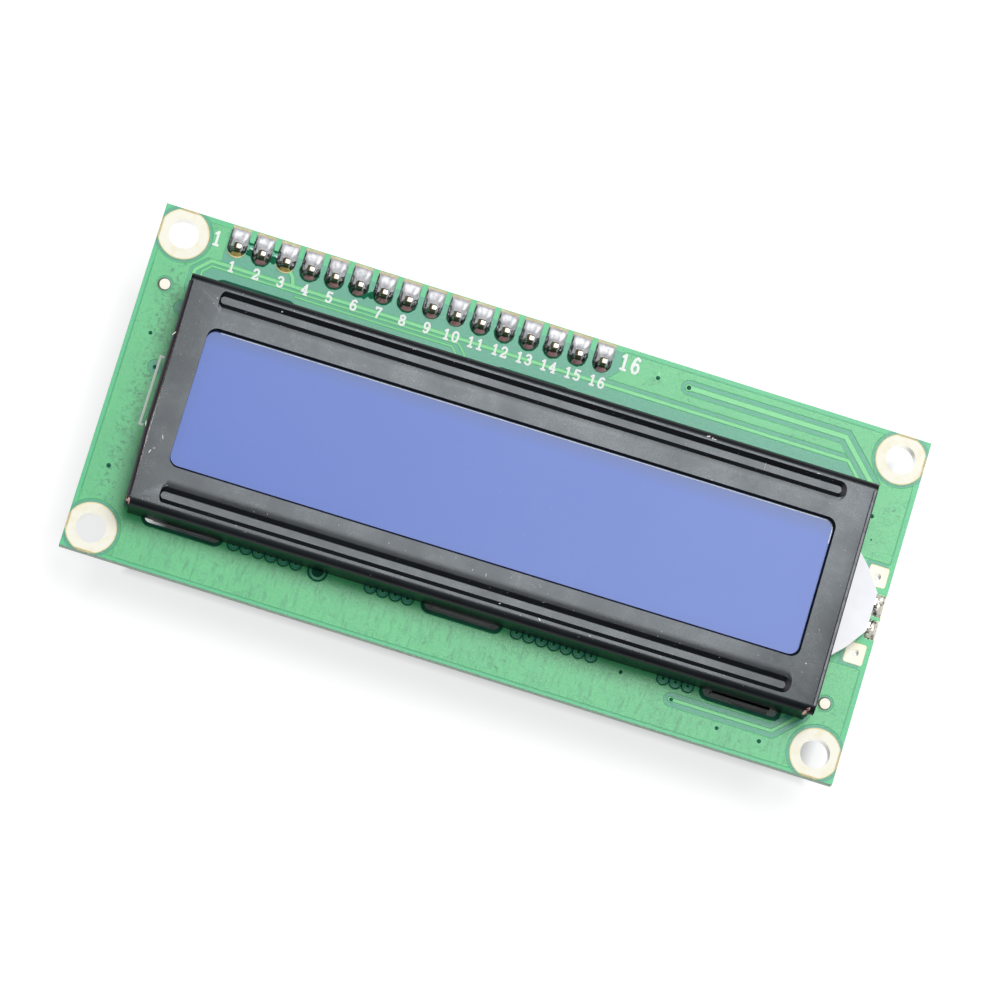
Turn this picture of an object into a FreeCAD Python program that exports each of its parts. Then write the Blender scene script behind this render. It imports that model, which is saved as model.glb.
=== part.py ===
import FreeCAD, Part
import os
import Sketcher

# Character LCD module: board, folded bezel, glass stack, backlight and pin header.
# Millimetres. X runs along the board, Z is the side that is looked at.
# The origin is the centre of the four corner holes on the board's rear face.

os.makedirs("parts", exist_ok=True)
doc = FreeCAD.newDocument("character_lcd_module")
sheet = doc.addObject("Spreadsheet::Sheet", "sizes")

# Every size of the module, in millimetres

sizes = {
    "board_length": 80.0,
    "board_width": 36.0,
    "board_thickness": 1.6,
    "corner_hole_margin": 2.5,
    "corner_hole_diameter": 3.0,
    "corner_pad_diameter": 5.3,
    "corner_pad_margin": 0.1,
    "plating": 0.05,
    "pin_pitch": 2.54,
    "pin_side": 0.64,
    "pin_row_margin": 2.3,
    "first_pin_margin": 7.95,
    "pin_hole_diameter": 1.0,
    "pin_rise": 1.5,
    "pin_drop": 8.5,
    "insulator_side": 2.54,
    "insulator_notch": 0.45,
    "solder_foot_radius": 0.86,
    "solder_neck_radius": 0.5,
    "solder_height": 0.85,
    "bezel_end_margin": 4.45,
    "bezel_side_margin": 5.88,
    "bezel_shift": 0.72,
    "bezel_height": 5.0,
    "bezel_sheet": 0.4,
    "bezel_side_bend": 0.75,
    "bezel_end_bend": 0.25,
    "bezel_seam": 0.45,
    "window_side_margin": 3.15,
    "window_shift": 0.22,
    "window_end_margin": 4.82,
    "window_radius": 1.0,
    "groove_margin": 1.83,
    "groove_end_margin": 3.25,
    "groove_width": 0.9,
    "groove_depth": 0.4,
    "tab_spacing": 28.9,
    "tab_width": 6.0,
    "tab_drop": 1.8,
    "slot_length": 7.8,
    "slot_width": 1.2,
    "west_gap": 9.0,
    "east_gap": 11.4,
    "gap_height": 2.6,
    "east_gap_shift": 0.55,
    "reflector_thickness": 0.2,
    "diffuser_thickness": 0.2,
    "polarizer_thickness": 0.2,
    "glass_thickness": 0.7,
    "stack_side_margin": 3.0,
    "stack_end_margin": 0.9,
    "front_glass_margin": 0.6,
    "strip_width": 1.8,
    "strip_end_margin": 2.5,
    "led_housing_clearance": 0.2,
    "led_root_half": 5.45,
    "led_middle_half": 4.12,
    "led_nose_half": 2.0,
    "led_root_reach": 0.43,
    "led_middle_reach": 1.71,
    "led_nose_reach": 3.2,
    "lead_width": 0.6,
    "lead_thickness": 0.25,
    "lead_spacing": 2.5,
    "lead_solder_height": 0.7,
    "backlight_hole_diameter": 0.74,
    "dome_radius": 7.0,
    "dome_height": 1.5,
    "dome_spacing": 34.0,
    "chip_length": 2.0,
    "chip_width": 1.25,
    "chip_height": 0.5,
}
for row, (alias, number) in enumerate(sizes.items(), start=1):
    cell = "B%d" % row
    sheet.set("A%d" % row, alias)
    sheet.set(cell, str(number))
    sheet.setAlias(cell, alias)
doc.recompute()

PIN_COUNT = 16
TAB_COUNT = 3

# Heights and edges that several pieces share, as formulas of the sizes

FRONT = "sizes.board_thickness"
PIN_Y = "sizes.board_width / 2 - sizes.pin_row_margin"
FIRST_PIN_X = "sizes.first_pin_margin - sizes.board_length / 2"
CORNER_X = "sizes.board_length / 2 - sizes.corner_hole_margin"
CORNER_Y = "sizes.board_width / 2 - sizes.corner_hole_margin"
BEZEL_EAST = "sizes.board_length / 2 - sizes.bezel_end_margin"
BEZEL_WEST = "-sizes.board_length / 2 + sizes.bezel_end_margin"
BEZEL_NORTH = "sizes.board_width / 2 - sizes.bezel_side_margin - sizes.bezel_shift"
BEZEL_SOUTH = "-sizes.board_width / 2 + sizes.bezel_side_margin - sizes.bezel_shift"
BEZEL_TOP = "sizes.board_thickness + sizes.bezel_height"
GROOVE_LENGTH = "sizes.board_length - 2 * (sizes.bezel_end_margin + sizes.groove_end_margin)"
STRIP_LENGTH = "sizes.board_length - 2 * (sizes.bezel_end_margin + sizes.strip_end_margin)"
GUIDE_LOW = FRONT + " + sizes.reflector_thickness"

# The glass stack hangs from the bezel: its front glass seats on the pressed grooves,
# and the light guide fills the height that is left above the board

FRONT_GLASS_HIGH = BEZEL_TOP + " - sizes.bezel_sheet - sizes.groove_depth"
FRONT_POLARIZER_HIGH = FRONT_GLASS_HIGH + " + sizes.polarizer_thickness"
REAR_GLASS_HIGH = FRONT_GLASS_HIGH + " - sizes.glass_thickness"
REAR_GLASS_LOW = REAR_GLASS_HIGH + " - sizes.glass_thickness"
DIFFUSER_HIGH = REAR_GLASS_LOW + " - sizes.polarizer_thickness"
GUIDE_HIGH = DIFFUSER_HIGH + " - sizes.diffuser_thickness"
HOUSING_HEIGHT = "(%s) - (%s) - sizes.led_housing_clearance" % (GUIDE_HIGH, GUIDE_LOW)


def bind(item, formulas):
    for path, formula in formulas.items():
        item.setExpression(path, formula)


def block(name, west, east, south, north, low, high):
    item = doc.addObject("Part::Box", name)
    bind(item, {
        "Length": "(%s) - (%s)" % (east, west),
        "Width": "(%s) - (%s)" % (north, south),
        "Height": "(%s) - (%s)" % (high, low),
        "Placement.Base.x": west,
        "Placement.Base.y": south,
        "Placement.Base.z": low,
    })
    return item


def centred_block(name, x, y, length, width, low, high):
    return block(
        name,
        "(%s) - (%s) / 2" % (x, length), "(%s) + (%s) / 2" % (x, length),
        "(%s) - (%s) / 2" % (y, width), "(%s) + (%s) / 2" % (y, width),
        low, high)


def new_body(name):
    return doc.addObject("PartDesign::Body", name)


def origin_part(body, role):
    for feature in body.Origin.OriginFeatures:
        if feature.Role == role:
            return feature


def new_sketch(body, name, height=None):
    sketch = body.newObject("Sketcher::SketchObject", name)
    sketch.AttachmentSupport = [(origin_part(body, "XY_Plane"), "")]
    sketch.MapMode = "FlatFace"
    if height:
        sketch.setExpression("AttachmentOffset.Base.z", height)
    return sketch


def number(formula, sketch):
    return sketch.evalExpression(formula)


def fix(sketch, kind, *rest):
    formula = rest[-1]
    index = sketch.addConstraint(
        Sketcher.Constraint(kind, *rest[:-1], float(number(formula, sketch))))
    sketch.setExpression("Constraints[%d]" % index, formula)


def fix_point(sketch, geometry, end, x, y):
    fix(sketch, "DistanceX", -1, 1, geometry, end, x)
    fix(sketch, "DistanceY", -1, 1, geometry, end, y)


def circle(sketch, x, y, radius):
    centre = FreeCAD.Vector(float(number(x, sketch)), float(number(y, sketch)), 0)
    size = float(number(radius, sketch))
    geometry = sketch.addGeometry(
        Part.Circle(centre, FreeCAD.Vector(0, 0, 1), size), False)
    fix_point(sketch, geometry, 3, x, y)
    fix(sketch, "Radius", geometry, radius)


def polygon(sketch, points):
    spots = [
        FreeCAD.Vector(float(number(x, sketch)), float(number(y, sketch)), 0)
        for x, y in points]
    lines = []
    for index, spot in enumerate(spots):
        following = spots[(index + 1) % len(spots)]
        lines.append(sketch.addGeometry(Part.LineSegment(spot, following), False))
    for index, line in enumerate(lines):
        following = lines[(index + 1) % len(lines)]
        sketch.addConstraint(Sketcher.Constraint("Coincident", line, 2, following, 1))
    for line, (x, y) in zip(lines, points):
        fix_point(sketch, line, 1, x, y)


def rectangle(sketch, west, east, south, north):
    polygon(sketch, [(west, south), (east, south), (east, north), (west, north)])


def arc(sketch, x, y, radius, start, finish):
    centre = FreeCAD.Vector(float(number(x, sketch)), float(number(y, sketch)), 0)
    size = float(number(radius, sketch))
    whole = Part.Circle(centre, FreeCAD.Vector(0, 0, 1), size)
    quarter = 1.5707963267948966
    geometry = sketch.addGeometry(
        Part.ArcOfCircle(whole, start * quarter, finish * quarter), False)
    fix_point(sketch, geometry, 3, x, y)
    fix(sketch, "Radius", geometry, radius)
    return geometry


def joining_line(sketch, first, first_end, second, second_end):
    start = sketch.getPoint(first, first_end)
    finish = sketch.getPoint(second, second_end)
    line = sketch.addGeometry(Part.LineSegment(start, finish), False)
    sketch.addConstraint(Sketcher.Constraint("Coincident", line, 1, first, first_end))
    sketch.addConstraint(Sketcher.Constraint("Coincident", line, 2, second, second_end))


# A slot is two half circles and two straight sides

def slot(sketch, x, y, length, width):
    radius = "(%s) / 2" % width
    half = "(%s) / 2 - (%s) / 2" % (length, width)
    west = arc(sketch, "%s - (%s)" % (x, half), y, radius, 1, 3)
    east = arc(sketch, "%s + (%s)" % (x, half), y, radius, -1, 1)
    joining_line(sketch, west, 1, east, 2)
    joining_line(sketch, west, 2, east, 1)
    for end in (1, 2):
        sketch.addConstraint(Sketcher.Constraint("Vertical", west, end, west, 3))
        sketch.addConstraint(Sketcher.Constraint("Vertical", east, end, east, 3))


def rounded_rectangle(sketch, west, east, south, north, radius):
    inner_west = "%s + %s" % (west, radius)
    inner_east = "%s - %s" % (east, radius)
    inner_south = "%s + %s" % (south, radius)
    inner_north = "%s - %s" % (north, radius)
    corners = [
        arc(sketch, inner_east, inner_north, radius, 0, 1),
        arc(sketch, inner_west, inner_north, radius, 1, 2),
        arc(sketch, inner_west, inner_south, radius, 2, 3),
        arc(sketch, inner_east, inner_south, radius, 3, 4),
    ]
    for index, corner in enumerate(corners):
        joining_line(sketch, corner, 2, corners[(index + 1) % 4], 1)
        starts, ends = ("Horizontal", "Vertical") if index % 2 == 0 else ("Vertical", "Horizontal")
        sketch.addConstraint(Sketcher.Constraint(starts, corner, 1, corner, 3))
        sketch.addConstraint(Sketcher.Constraint(ends, corner, 2, corner, 3))


def pad(body, sketch, length):
    feature = body.newObject("PartDesign::Pad", sketch.Name + "_pad")
    feature.Profile = sketch
    feature.setExpression("Length", length)
    sketch.Visibility = False
    doc.recompute()
    return feature


# A pocket takes away material on the rear side of its sketch, or on the front side

def pocket(body, sketch, length, forward=False):
    before = body.Shape.Volume
    feature = body.newObject("PartDesign::Pocket", sketch.Name + "_cut")
    feature.Profile = sketch
    feature.setExpression("Length", length)
    feature.Reversed = forward
    sketch.Visibility = False
    doc.recompute()
    if not body.Shape.Volume < before - 1e-6:
        raise RuntimeError(feature.Name + " takes away nothing")
    return feature


# A bend rounds the two level edges at one height that run along X, or along Y

def bend_edges(body, base, name, height, along_x, radius):
    names = []
    for index, edge in enumerate(base.Shape.Edges, start=1):
        box = edge.BoundBox
        level = abs(box.ZMin - height) < 0.01 and abs(box.ZMax - height) < 0.01
        if level and (box.XLength > box.YLength) == along_x:
            names.append("Edge%d" % index)
    feature = body.newObject("PartDesign::Fillet", name)
    feature.Base = (base, names)
    feature.setExpression("Radius", radius)
    doc.recompute()
    return feature


def repeat_along_x(body, features, length, count):
    feature = body.newObject("PartDesign::LinearPattern", features[-1].Name + "_row")
    feature.Originals = features
    feature.Direction = (origin_part(body, "X_Axis"), [""])
    feature.setExpression("Length", length)
    feature.Occurrences = count
    body.Tip = feature
    doc.recompute()
    return feature


pieces = []

# Circuit board with its corner holes, header holes, two small backlight holes and tab slots

board = new_body("circuit_board")
outline = new_sketch(board, "board_outline")
rectangle(outline, "-sizes.board_length / 2", "sizes.board_length / 2",
          "-sizes.board_width / 2", "sizes.board_width / 2")
pad(board, outline, FRONT)
drill = new_sketch(board, "board_drill", FRONT)
for x_sign in ("", "-"):
    for y_sign in ("", "-"):
        circle(drill, "%s(%s)" % (x_sign, CORNER_X), "%s(%s)" % (y_sign, CORNER_Y),
               "sizes.corner_hole_diameter / 2 + sizes.plating")
circle(drill, "sizes.board_length / 2 - 1.43", "3.4", "sizes.backlight_hole_diameter / 2")
circle(drill, "sizes.board_length / 2 - 1.45", "-4.6", "sizes.backlight_hole_diameter / 2")
pocket(board, drill, "sizes.board_thickness + 1")
pin_hole = new_sketch(board, "board_pin_hole", FRONT)
circle(pin_hole, FIRST_PIN_X, PIN_Y, "sizes.pin_hole_diameter / 2")
pin_hole_cut = pocket(board, pin_hole, "sizes.board_thickness + 1")
repeat_along_x(board, [pin_hole_cut], "sizes.pin_pitch * %d" % (PIN_COUNT - 1), PIN_COUNT)
tab_slots = new_sketch(board, "board_tab_slots", FRONT)
for side in (BEZEL_SOUTH + " + 0.1", BEZEL_NORTH + " - 0.1"):
    slot(tab_slots, "-sizes.tab_spacing", side, "sizes.slot_length", "sizes.slot_width")
tab_slots_cut = pocket(board, tab_slots, "sizes.board_thickness + 1")
repeat_along_x(board, [tab_slots_cut], "sizes.tab_spacing * %d" % (TAB_COUNT - 1), TAB_COUNT)
pieces.append(board)

# Plated sleeves of the corner holes: a thin barrel with a ring pad on each face,
# and two flats where the pads stop short of the board's edges

FLAT = "sizes.corner_hole_margin - sizes.corner_pad_margin"
corners = [("", "", 0), ("-", "", 90), ("-", "-", 180), ("", "-", 270)]
for index, (x_sign, y_sign, turn) in enumerate(corners, start=1):
    sleeve = new_body("hole_plating_%d" % index)
    disc = new_sketch(sleeve, "plating_disc_%d" % index, "-sizes.plating")
    circle(disc, "0", "0", "sizes.corner_pad_diameter / 2")
    pad(sleeve, disc, "sizes.board_thickness + 2 * sizes.plating")
    waist = new_sketch(sleeve, "plating_waist_%d" % index)
    circle(waist, "0", "0", "sizes.corner_pad_diameter / 2 + 1")
    circle(waist, "0", "0", "sizes.corner_hole_diameter / 2 + sizes.plating")
    pocket(sleeve, waist, FRONT, forward=True)
    flats = new_sketch(sleeve, "plating_flats_%d" % index, "-sizes.plating - 1")
    reach = "sizes.corner_pad_diameter"
    polygon(flats, [
        (FLAT, "-" + reach), (reach, "-" + reach), (reach, reach), ("-" + reach, reach),
        ("-" + reach, FLAT), (FLAT, FLAT)])
    pocket(sleeve, flats, "sizes.board_thickness + 3", forward=True)
    bore = new_sketch(sleeve, "plating_bore_%d" % index, "-sizes.plating - 1")
    circle(bore, "0", "0", "sizes.corner_hole_diameter / 2")
    pocket(sleeve, bore, "sizes.board_thickness + 3", forward=True)
    sleeve.Placement = FreeCAD.Placement(
        FreeCAD.Vector(0, 0, 0), FreeCAD.Rotation(FreeCAD.Vector(0, 0, 1), turn))
    bind(sleeve, {
        "Placement.Base.x": "%s(%s)" % (x_sign, CORNER_X),
        "Placement.Base.y": "%s(%s)" % (y_sign, CORNER_Y),
    })
    pieces.append(sleeve)

# Bezel: one sheet folded down on four sides, with a window, two long pressed grooves,
# open corner seams, a gap in each end wall and three tabs on each long side

bezel = new_body("bezel")
cover = new_sketch(bezel, "bezel_cover", FRONT)
rectangle(cover, BEZEL_WEST, BEZEL_EAST, BEZEL_SOUTH, BEZEL_NORTH)
cover_pad = pad(bezel, cover, "sizes.bezel_height")
cover_top = cover_pad.Shape.BoundBox.ZMax
side_bend = bend_edges(bezel, cover_pad, "bezel_side_bend", cover_top, True, "sizes.bezel_side_bend")
bend_edges(bezel, side_bend, "bezel_end_bend", cover_top, False, "sizes.bezel_end_bend")
hollow = new_sketch(bezel, "bezel_hollow", FRONT)
rectangle(hollow, BEZEL_WEST + " + sizes.bezel_sheet", BEZEL_EAST + " - sizes.bezel_sheet",
          BEZEL_SOUTH + " + sizes.bezel_sheet", BEZEL_NORTH + " - sizes.bezel_sheet")
hollow_cut = pocket(bezel, hollow, "sizes.bezel_height - sizes.bezel_sheet", forward=True)
bend_edges(bezel, hollow_cut, "bezel_inner_bend", cover_top - sizes["bezel_sheet"], True,
           "sizes.bezel_side_bend - sizes.bezel_sheet")
pressed = new_sketch(bezel, "bezel_pressed_form", BEZEL_TOP + " - sizes.bezel_sheet - sizes.groove_depth")
sunk = new_sketch(bezel, "bezel_groove", BEZEL_TOP)
for line in (BEZEL_SOUTH + " + sizes.groove_margin", BEZEL_NORTH + " - sizes.groove_margin"):
    slot(pressed, "0", line, GROOVE_LENGTH + " + 2 * sizes.bezel_sheet",
         "sizes.groove_width + 2 * sizes.bezel_sheet")
    slot(sunk, "0", line, GROOVE_LENGTH, "sizes.groove_width")
pad(bezel, pressed, "sizes.groove_depth + sizes.bezel_sheet / 2")
pocket(bezel, sunk, "sizes.groove_depth")
window = new_sketch(bezel, "bezel_window", BEZEL_TOP + " + 1")
rounded_rectangle(window,
                  BEZEL_WEST + " + sizes.window_side_margin + sizes.window_shift",
                  BEZEL_EAST + " - sizes.window_side_margin + sizes.window_shift",
                  BEZEL_SOUTH + " + sizes.window_end_margin",
                  BEZEL_NORTH + " - sizes.window_end_margin",
                  "sizes.window_radius")
pocket(bezel, window, "sizes.bezel_sheet + 1.5")
seams = new_sketch(bezel, "bezel_seams", FRONT)
for west, east in ((BEZEL_WEST + " - 1", BEZEL_WEST + " + sizes.bezel_seam"),
                   (BEZEL_EAST + " - sizes.bezel_seam", BEZEL_EAST + " + 1")):
    for south, north in ((BEZEL_SOUTH + " - 1", BEZEL_SOUTH + " + sizes.bezel_seam"),
                         (BEZEL_NORTH + " - sizes.bezel_seam", BEZEL_NORTH + " + 1")):
        rectangle(seams, west, east, south, north)
pocket(bezel, seams, "sizes.bezel_height - sizes.bezel_side_bend", forward=True)
end_gaps = new_sketch(bezel, "bezel_end_gaps", FRONT)
rectangle(end_gaps, BEZEL_WEST + " - 1", BEZEL_WEST + " + sizes.bezel_sheet + 0.1",
          "-sizes.west_gap / 2", "sizes.west_gap / 2")
rectangle(end_gaps, BEZEL_EAST + " - sizes.bezel_sheet - 0.1", BEZEL_EAST + " + 1",
          "-sizes.east_gap / 2 - sizes.east_gap_shift", "sizes.east_gap / 2 - sizes.east_gap_shift")
pocket(bezel, end_gaps, "sizes.gap_height", forward=True)

# Each tab goes straight down through its slot and is twisted below the board

for side, middle in (("south", BEZEL_SOUTH + " + sizes.bezel_sheet / 2"),
                     ("north", BEZEL_NORTH + " - sizes.bezel_sheet / 2")):
    stem = new_sketch(bezel, "bezel_stem_" + side, "-0.1")
    rectangle(stem, "-sizes.tab_spacing - sizes.tab_width / 2",
              "-sizes.tab_spacing + sizes.tab_width / 2",
              middle + " - sizes.bezel_sheet / 2", middle + " + sizes.bezel_sheet / 2")
    stem_pad = pad(bezel, stem, "sizes.board_thickness + 0.6")
    ends = []
    for name, height, turn in (("start", "-0.1", 0), ("finish", "-sizes.tab_drop", -18)):
        section = new_sketch(bezel, "bezel_twist_%s_%s" % (name, side))
        section.AttachmentOffset = FreeCAD.Placement(
            FreeCAD.Vector(0, 0, 0), FreeCAD.Rotation(FreeCAD.Vector(0, 0, 1), turn))
        bind(section, {
            "AttachmentOffset.Base.x": "-sizes.tab_spacing",
            "AttachmentOffset.Base.y": middle,
            "AttachmentOffset.Base.z": height,
        })
        rectangle(section, "-sizes.tab_width / 2", "sizes.tab_width / 2",
                  "-sizes.bezel_sheet / 2", "sizes.bezel_sheet / 2")
        section.Visibility = False
        ends.append(section)
    twist = bezel.newObject("PartDesign::AdditiveLoft", "bezel_twist_" + side)
    twist.Profile = ends[0]
    twist.Sections = [ends[1]]
    twist.Ruled = True
    doc.recompute()
    repeat_along_x(bezel, [stem_pad, twist], "sizes.tab_spacing * %d" % (TAB_COUNT - 1), TAB_COUNT)
pieces.append(bezel)

# Glass stack, from the backlight up to the front polarizer

STACK_WEST = BEZEL_WEST + " + sizes.bezel_sheet + sizes.stack_end_margin"
STACK_EAST = BEZEL_EAST + " - sizes.bezel_sheet - sizes.stack_end_margin"
STACK_SOUTH = BEZEL_SOUTH + " + sizes.stack_side_margin"
STACK_NORTH = BEZEL_NORTH + " - sizes.stack_side_margin"
for name, low, high in (
        ("backlight_reflector", FRONT, GUIDE_LOW),
        ("light_guide", GUIDE_LOW, GUIDE_HIGH),
        ("backlight_diffuser", GUIDE_HIGH, DIFFUSER_HIGH),
        ("rear_polarizer", DIFFUSER_HIGH, REAR_GLASS_LOW),
        ("rear_glass", REAR_GLASS_LOW, REAR_GLASS_HIGH),
        ("front_polarizer", FRONT_GLASS_HIGH, FRONT_POLARIZER_HIGH)):
    pieces.append(block(name, STACK_WEST, STACK_EAST, STACK_SOUTH, STACK_NORTH, low, high))
pieces.append(block(
    "front_glass",
    BEZEL_WEST + " + sizes.front_glass_margin", BEZEL_EAST + " - sizes.front_glass_margin",
    BEZEL_SOUTH + " + sizes.front_glass_margin", BEZEL_NORTH + " - sizes.front_glass_margin",
    REAR_GLASS_HIGH, FRONT_GLASS_HIGH))
for name, line in (("zebra_strip_upper", BEZEL_NORTH + " - sizes.groove_margin"),
                   ("zebra_strip_lower", BEZEL_SOUTH + " + sizes.groove_margin")):
    pieces.append(centred_block(name, "0", line, STRIP_LENGTH, "sizes.strip_width",
                                FRONT, REAR_GLASS_HIGH))

# White LED housing that comes out under the right wall, narrowing to its nose

housing = new_body("led_housing")
nose = new_sketch(housing, "led_outline", GUIDE_LOW)
MIDDLE = "-sizes.east_gap_shift"
steps = [
    (STACK_EAST, "sizes.led_root_half"),
    (BEZEL_EAST + " + sizes.led_root_reach", "sizes.led_root_half"),
    (BEZEL_EAST + " + sizes.led_middle_reach", "sizes.led_middle_half"),
    (BEZEL_EAST + " + sizes.led_nose_reach", "sizes.led_nose_half"),
]
lower_side = [(x, "%s - %s" % (MIDDLE, half)) for x, half in steps]
upper_side = [(x, "%s + %s" % (MIDDLE, half)) for x, half in reversed(steps)]
polygon(nose, lower_side + upper_side)
pad(housing, nose, HOUSING_HEIGHT)
pieces.append(housing)

# Two leads bend down from the nose to lumps of solder on the board's edge pads

NOSE_X = BEZEL_EAST + " + sizes.led_nose_reach"
for index, sign in ((1, "+"), (2, "-")):
    y = "%s %s sizes.lead_spacing / 2" % (MIDDLE, sign)
    pieces.append(centred_block(
        "backlight_lead_%d" % index, NOSE_X + " + sizes.lead_thickness / 2", y,
        "sizes.lead_thickness", "sizes.lead_width",
        FRONT, GUIDE_LOW + " + 0.6 * (%s)" % HOUSING_HEIGHT))
    lump = doc.addObject("Part::Wedge", "lead_solder_form_%d" % index)
    bind(lump, {
        "Xmin": "0", "Xmax": "0.85", "X2min": "0.1", "X2max": "0.6",
        "Ymin": "0", "Ymax": "sizes.lead_solder_height",
        "Zmin": "0", "Zmax": "1.9", "Z2min": "0.4", "Z2max": "1.5",
        "Placement.Base.x": NOSE_X + " + sizes.lead_thickness",
        "Placement.Base.y": y + " + 0.95",
        "Placement.Base.z": FRONT,
    })
    lump.Placement.Rotation = FreeCAD.Rotation(FreeCAD.Vector(1, 0, 0), 90)
    lump.Label = "backlight_solder_%d" % index
    pieces.append(lump)

# Pin header: an insulator bar below the board, square pins and a cone of solder on each

HALF_PIN = "sizes.pin_side / 2"
insulator = new_body("header_insulator")
bar = new_sketch(insulator, "insulator_bar", "-sizes.insulator_side")
rectangle(bar,
          FIRST_PIN_X + " - sizes.pin_pitch / 2",
          FIRST_PIN_X + " + sizes.pin_pitch * %.1f" % (PIN_COUNT - 0.5),
          PIN_Y + " - sizes.insulator_side / 2", PIN_Y + " + sizes.insulator_side / 2")
pad(insulator, bar, "sizes.insulator_side")
passage = new_sketch(insulator, "insulator_passage", "-sizes.insulator_side - 1")
rectangle(passage, FIRST_PIN_X + " - " + HALF_PIN, FIRST_PIN_X + " + " + HALF_PIN,
          PIN_Y + " - " + HALF_PIN, PIN_Y + " + " + HALF_PIN)
passage_cut = pocket(insulator, passage, "sizes.insulator_side + 2", forward=True)
repeat_along_x(insulator, [passage_cut], "sizes.pin_pitch * %d" % (PIN_COUNT - 1), PIN_COUNT)
notches = new_sketch(insulator, "insulator_notches", "-sizes.insulator_side - 1")
BETWEEN = FIRST_PIN_X + " + sizes.pin_pitch / 2"
for sign in ("-", "+"):
    edge = "%s %s sizes.insulator_side / 2" % (PIN_Y, sign)
    back = "+" if sign == "-" else "-"
    polygon(notches, [
        (BETWEEN + " - sizes.insulator_notch", "%s %s 0.2" % (edge, sign)),
        (BETWEEN + " + sizes.insulator_notch", "%s %s 0.2" % (edge, sign)),
        (BETWEEN, "%s %s sizes.insulator_notch" % (edge, back))])
notches_cut = pocket(insulator, notches, "sizes.insulator_side + 2", forward=True)
repeat_along_x(insulator, [notches_cut], "sizes.pin_pitch * %d" % (PIN_COUNT - 2), PIN_COUNT - 1)
pieces.append(insulator)

for index in range(PIN_COUNT):
    x = FIRST_PIN_X + " + sizes.pin_pitch * %d" % index
    top = FRONT + " + sizes.pin_rise"
    pieces.append(centred_block(
        "header_pin_%02d" % (index + 1), x, PIN_Y, "sizes.pin_side", "sizes.pin_side",
        "-sizes.pin_drop", top))
    cone = doc.addObject("Part::Cone", "solder_cone_%02d" % (index + 1))
    bind(cone, {
        "Radius1": "sizes.solder_foot_radius",
        "Radius2": "sizes.solder_neck_radius",
        "Height": "sizes.solder_height",
        "Placement.Base.x": x,
        "Placement.Base.y": PIN_Y,
        "Placement.Base.z": FRONT,
    })
    core = centred_block("solder_core_%02d" % (index + 1), x, PIN_Y,
                         "sizes.pin_side", "sizes.pin_side", FRONT + " - 1", top + " + 1")
    joint = doc.addObject("Part::Cut", "solder_joint_%02d" % (index + 1))
    joint.Base = cone
    joint.Tool = core
    pieces.append(joint)

# Rear side: two domes of black epoxy over the driver chips, and small chip parts

for name, sign in (("epoxy_dome_left", "-"), ("epoxy_dome_right", "")):
    dome = doc.addObject("Part::Sphere", name)
    curve = "(sizes.dome_radius ^ 2 + sizes.dome_height ^ 2) / (2 * sizes.dome_height)"
    dome.Angle2 = 90
    bind(dome, {
        "Radius": curve,
        "Angle1": "asin(1 - sizes.dome_height / (%s))" % curve,
        "Placement.Base.x": "%ssizes.dome_spacing / 2" % sign,
        "Placement.Base.y": "-2",
        "Placement.Base.z": "%s - sizes.dome_height" % curve,
    })
    dome.Placement.Rotation = FreeCAD.Rotation(FreeCAD.Vector(1, 0, 0), 180)
    pieces.append(dome)
chip_places = [("0", "7"), ("3.6", "7"), ("0", "-10"), ("sizes.board_length / 2 - 6", "2")]
for index, (x, y) in enumerate(chip_places, start=1):
    pieces.append(centred_block(
        "chip_part_%d" % index, x, y, "sizes.chip_length", "sizes.chip_width",
        "-sizes.chip_height", "0"))

# Check every object, then write one file for each piece

doc.recompute()
for item in doc.Objects:
    if "Invalid" in item.State or "Error" in item.State:
        raise RuntimeError(item.Name + " is " + " ".join(item.State))
for piece in pieces:
    shape = piece.Shape
    if shape.isNull() or not shape.isValid() or len(shape.Solids) != 1:
        raise RuntimeError(piece.Label + " is not one valid solid")
    shape.exportStep("parts/%s.step" % piece.Label)
print("pieces", len(pieces))
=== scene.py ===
import math
import random

import bpy
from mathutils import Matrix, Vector
from mathutils.geometry import delaunay_2d_cdt


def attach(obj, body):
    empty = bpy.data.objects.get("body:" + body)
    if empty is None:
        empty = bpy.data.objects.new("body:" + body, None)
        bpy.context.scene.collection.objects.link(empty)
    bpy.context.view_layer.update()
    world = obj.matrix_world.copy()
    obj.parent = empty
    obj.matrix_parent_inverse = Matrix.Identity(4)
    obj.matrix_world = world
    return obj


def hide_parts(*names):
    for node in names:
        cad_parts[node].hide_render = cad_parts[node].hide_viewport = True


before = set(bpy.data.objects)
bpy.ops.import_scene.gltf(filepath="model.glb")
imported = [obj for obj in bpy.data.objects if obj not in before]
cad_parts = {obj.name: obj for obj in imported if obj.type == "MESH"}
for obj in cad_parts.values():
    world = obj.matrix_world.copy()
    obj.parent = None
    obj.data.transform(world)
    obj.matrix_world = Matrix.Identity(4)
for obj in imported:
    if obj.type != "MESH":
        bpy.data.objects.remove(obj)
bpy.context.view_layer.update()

# Sizes in millimetres. X runs along the board, Z is the side that is looked at

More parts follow.
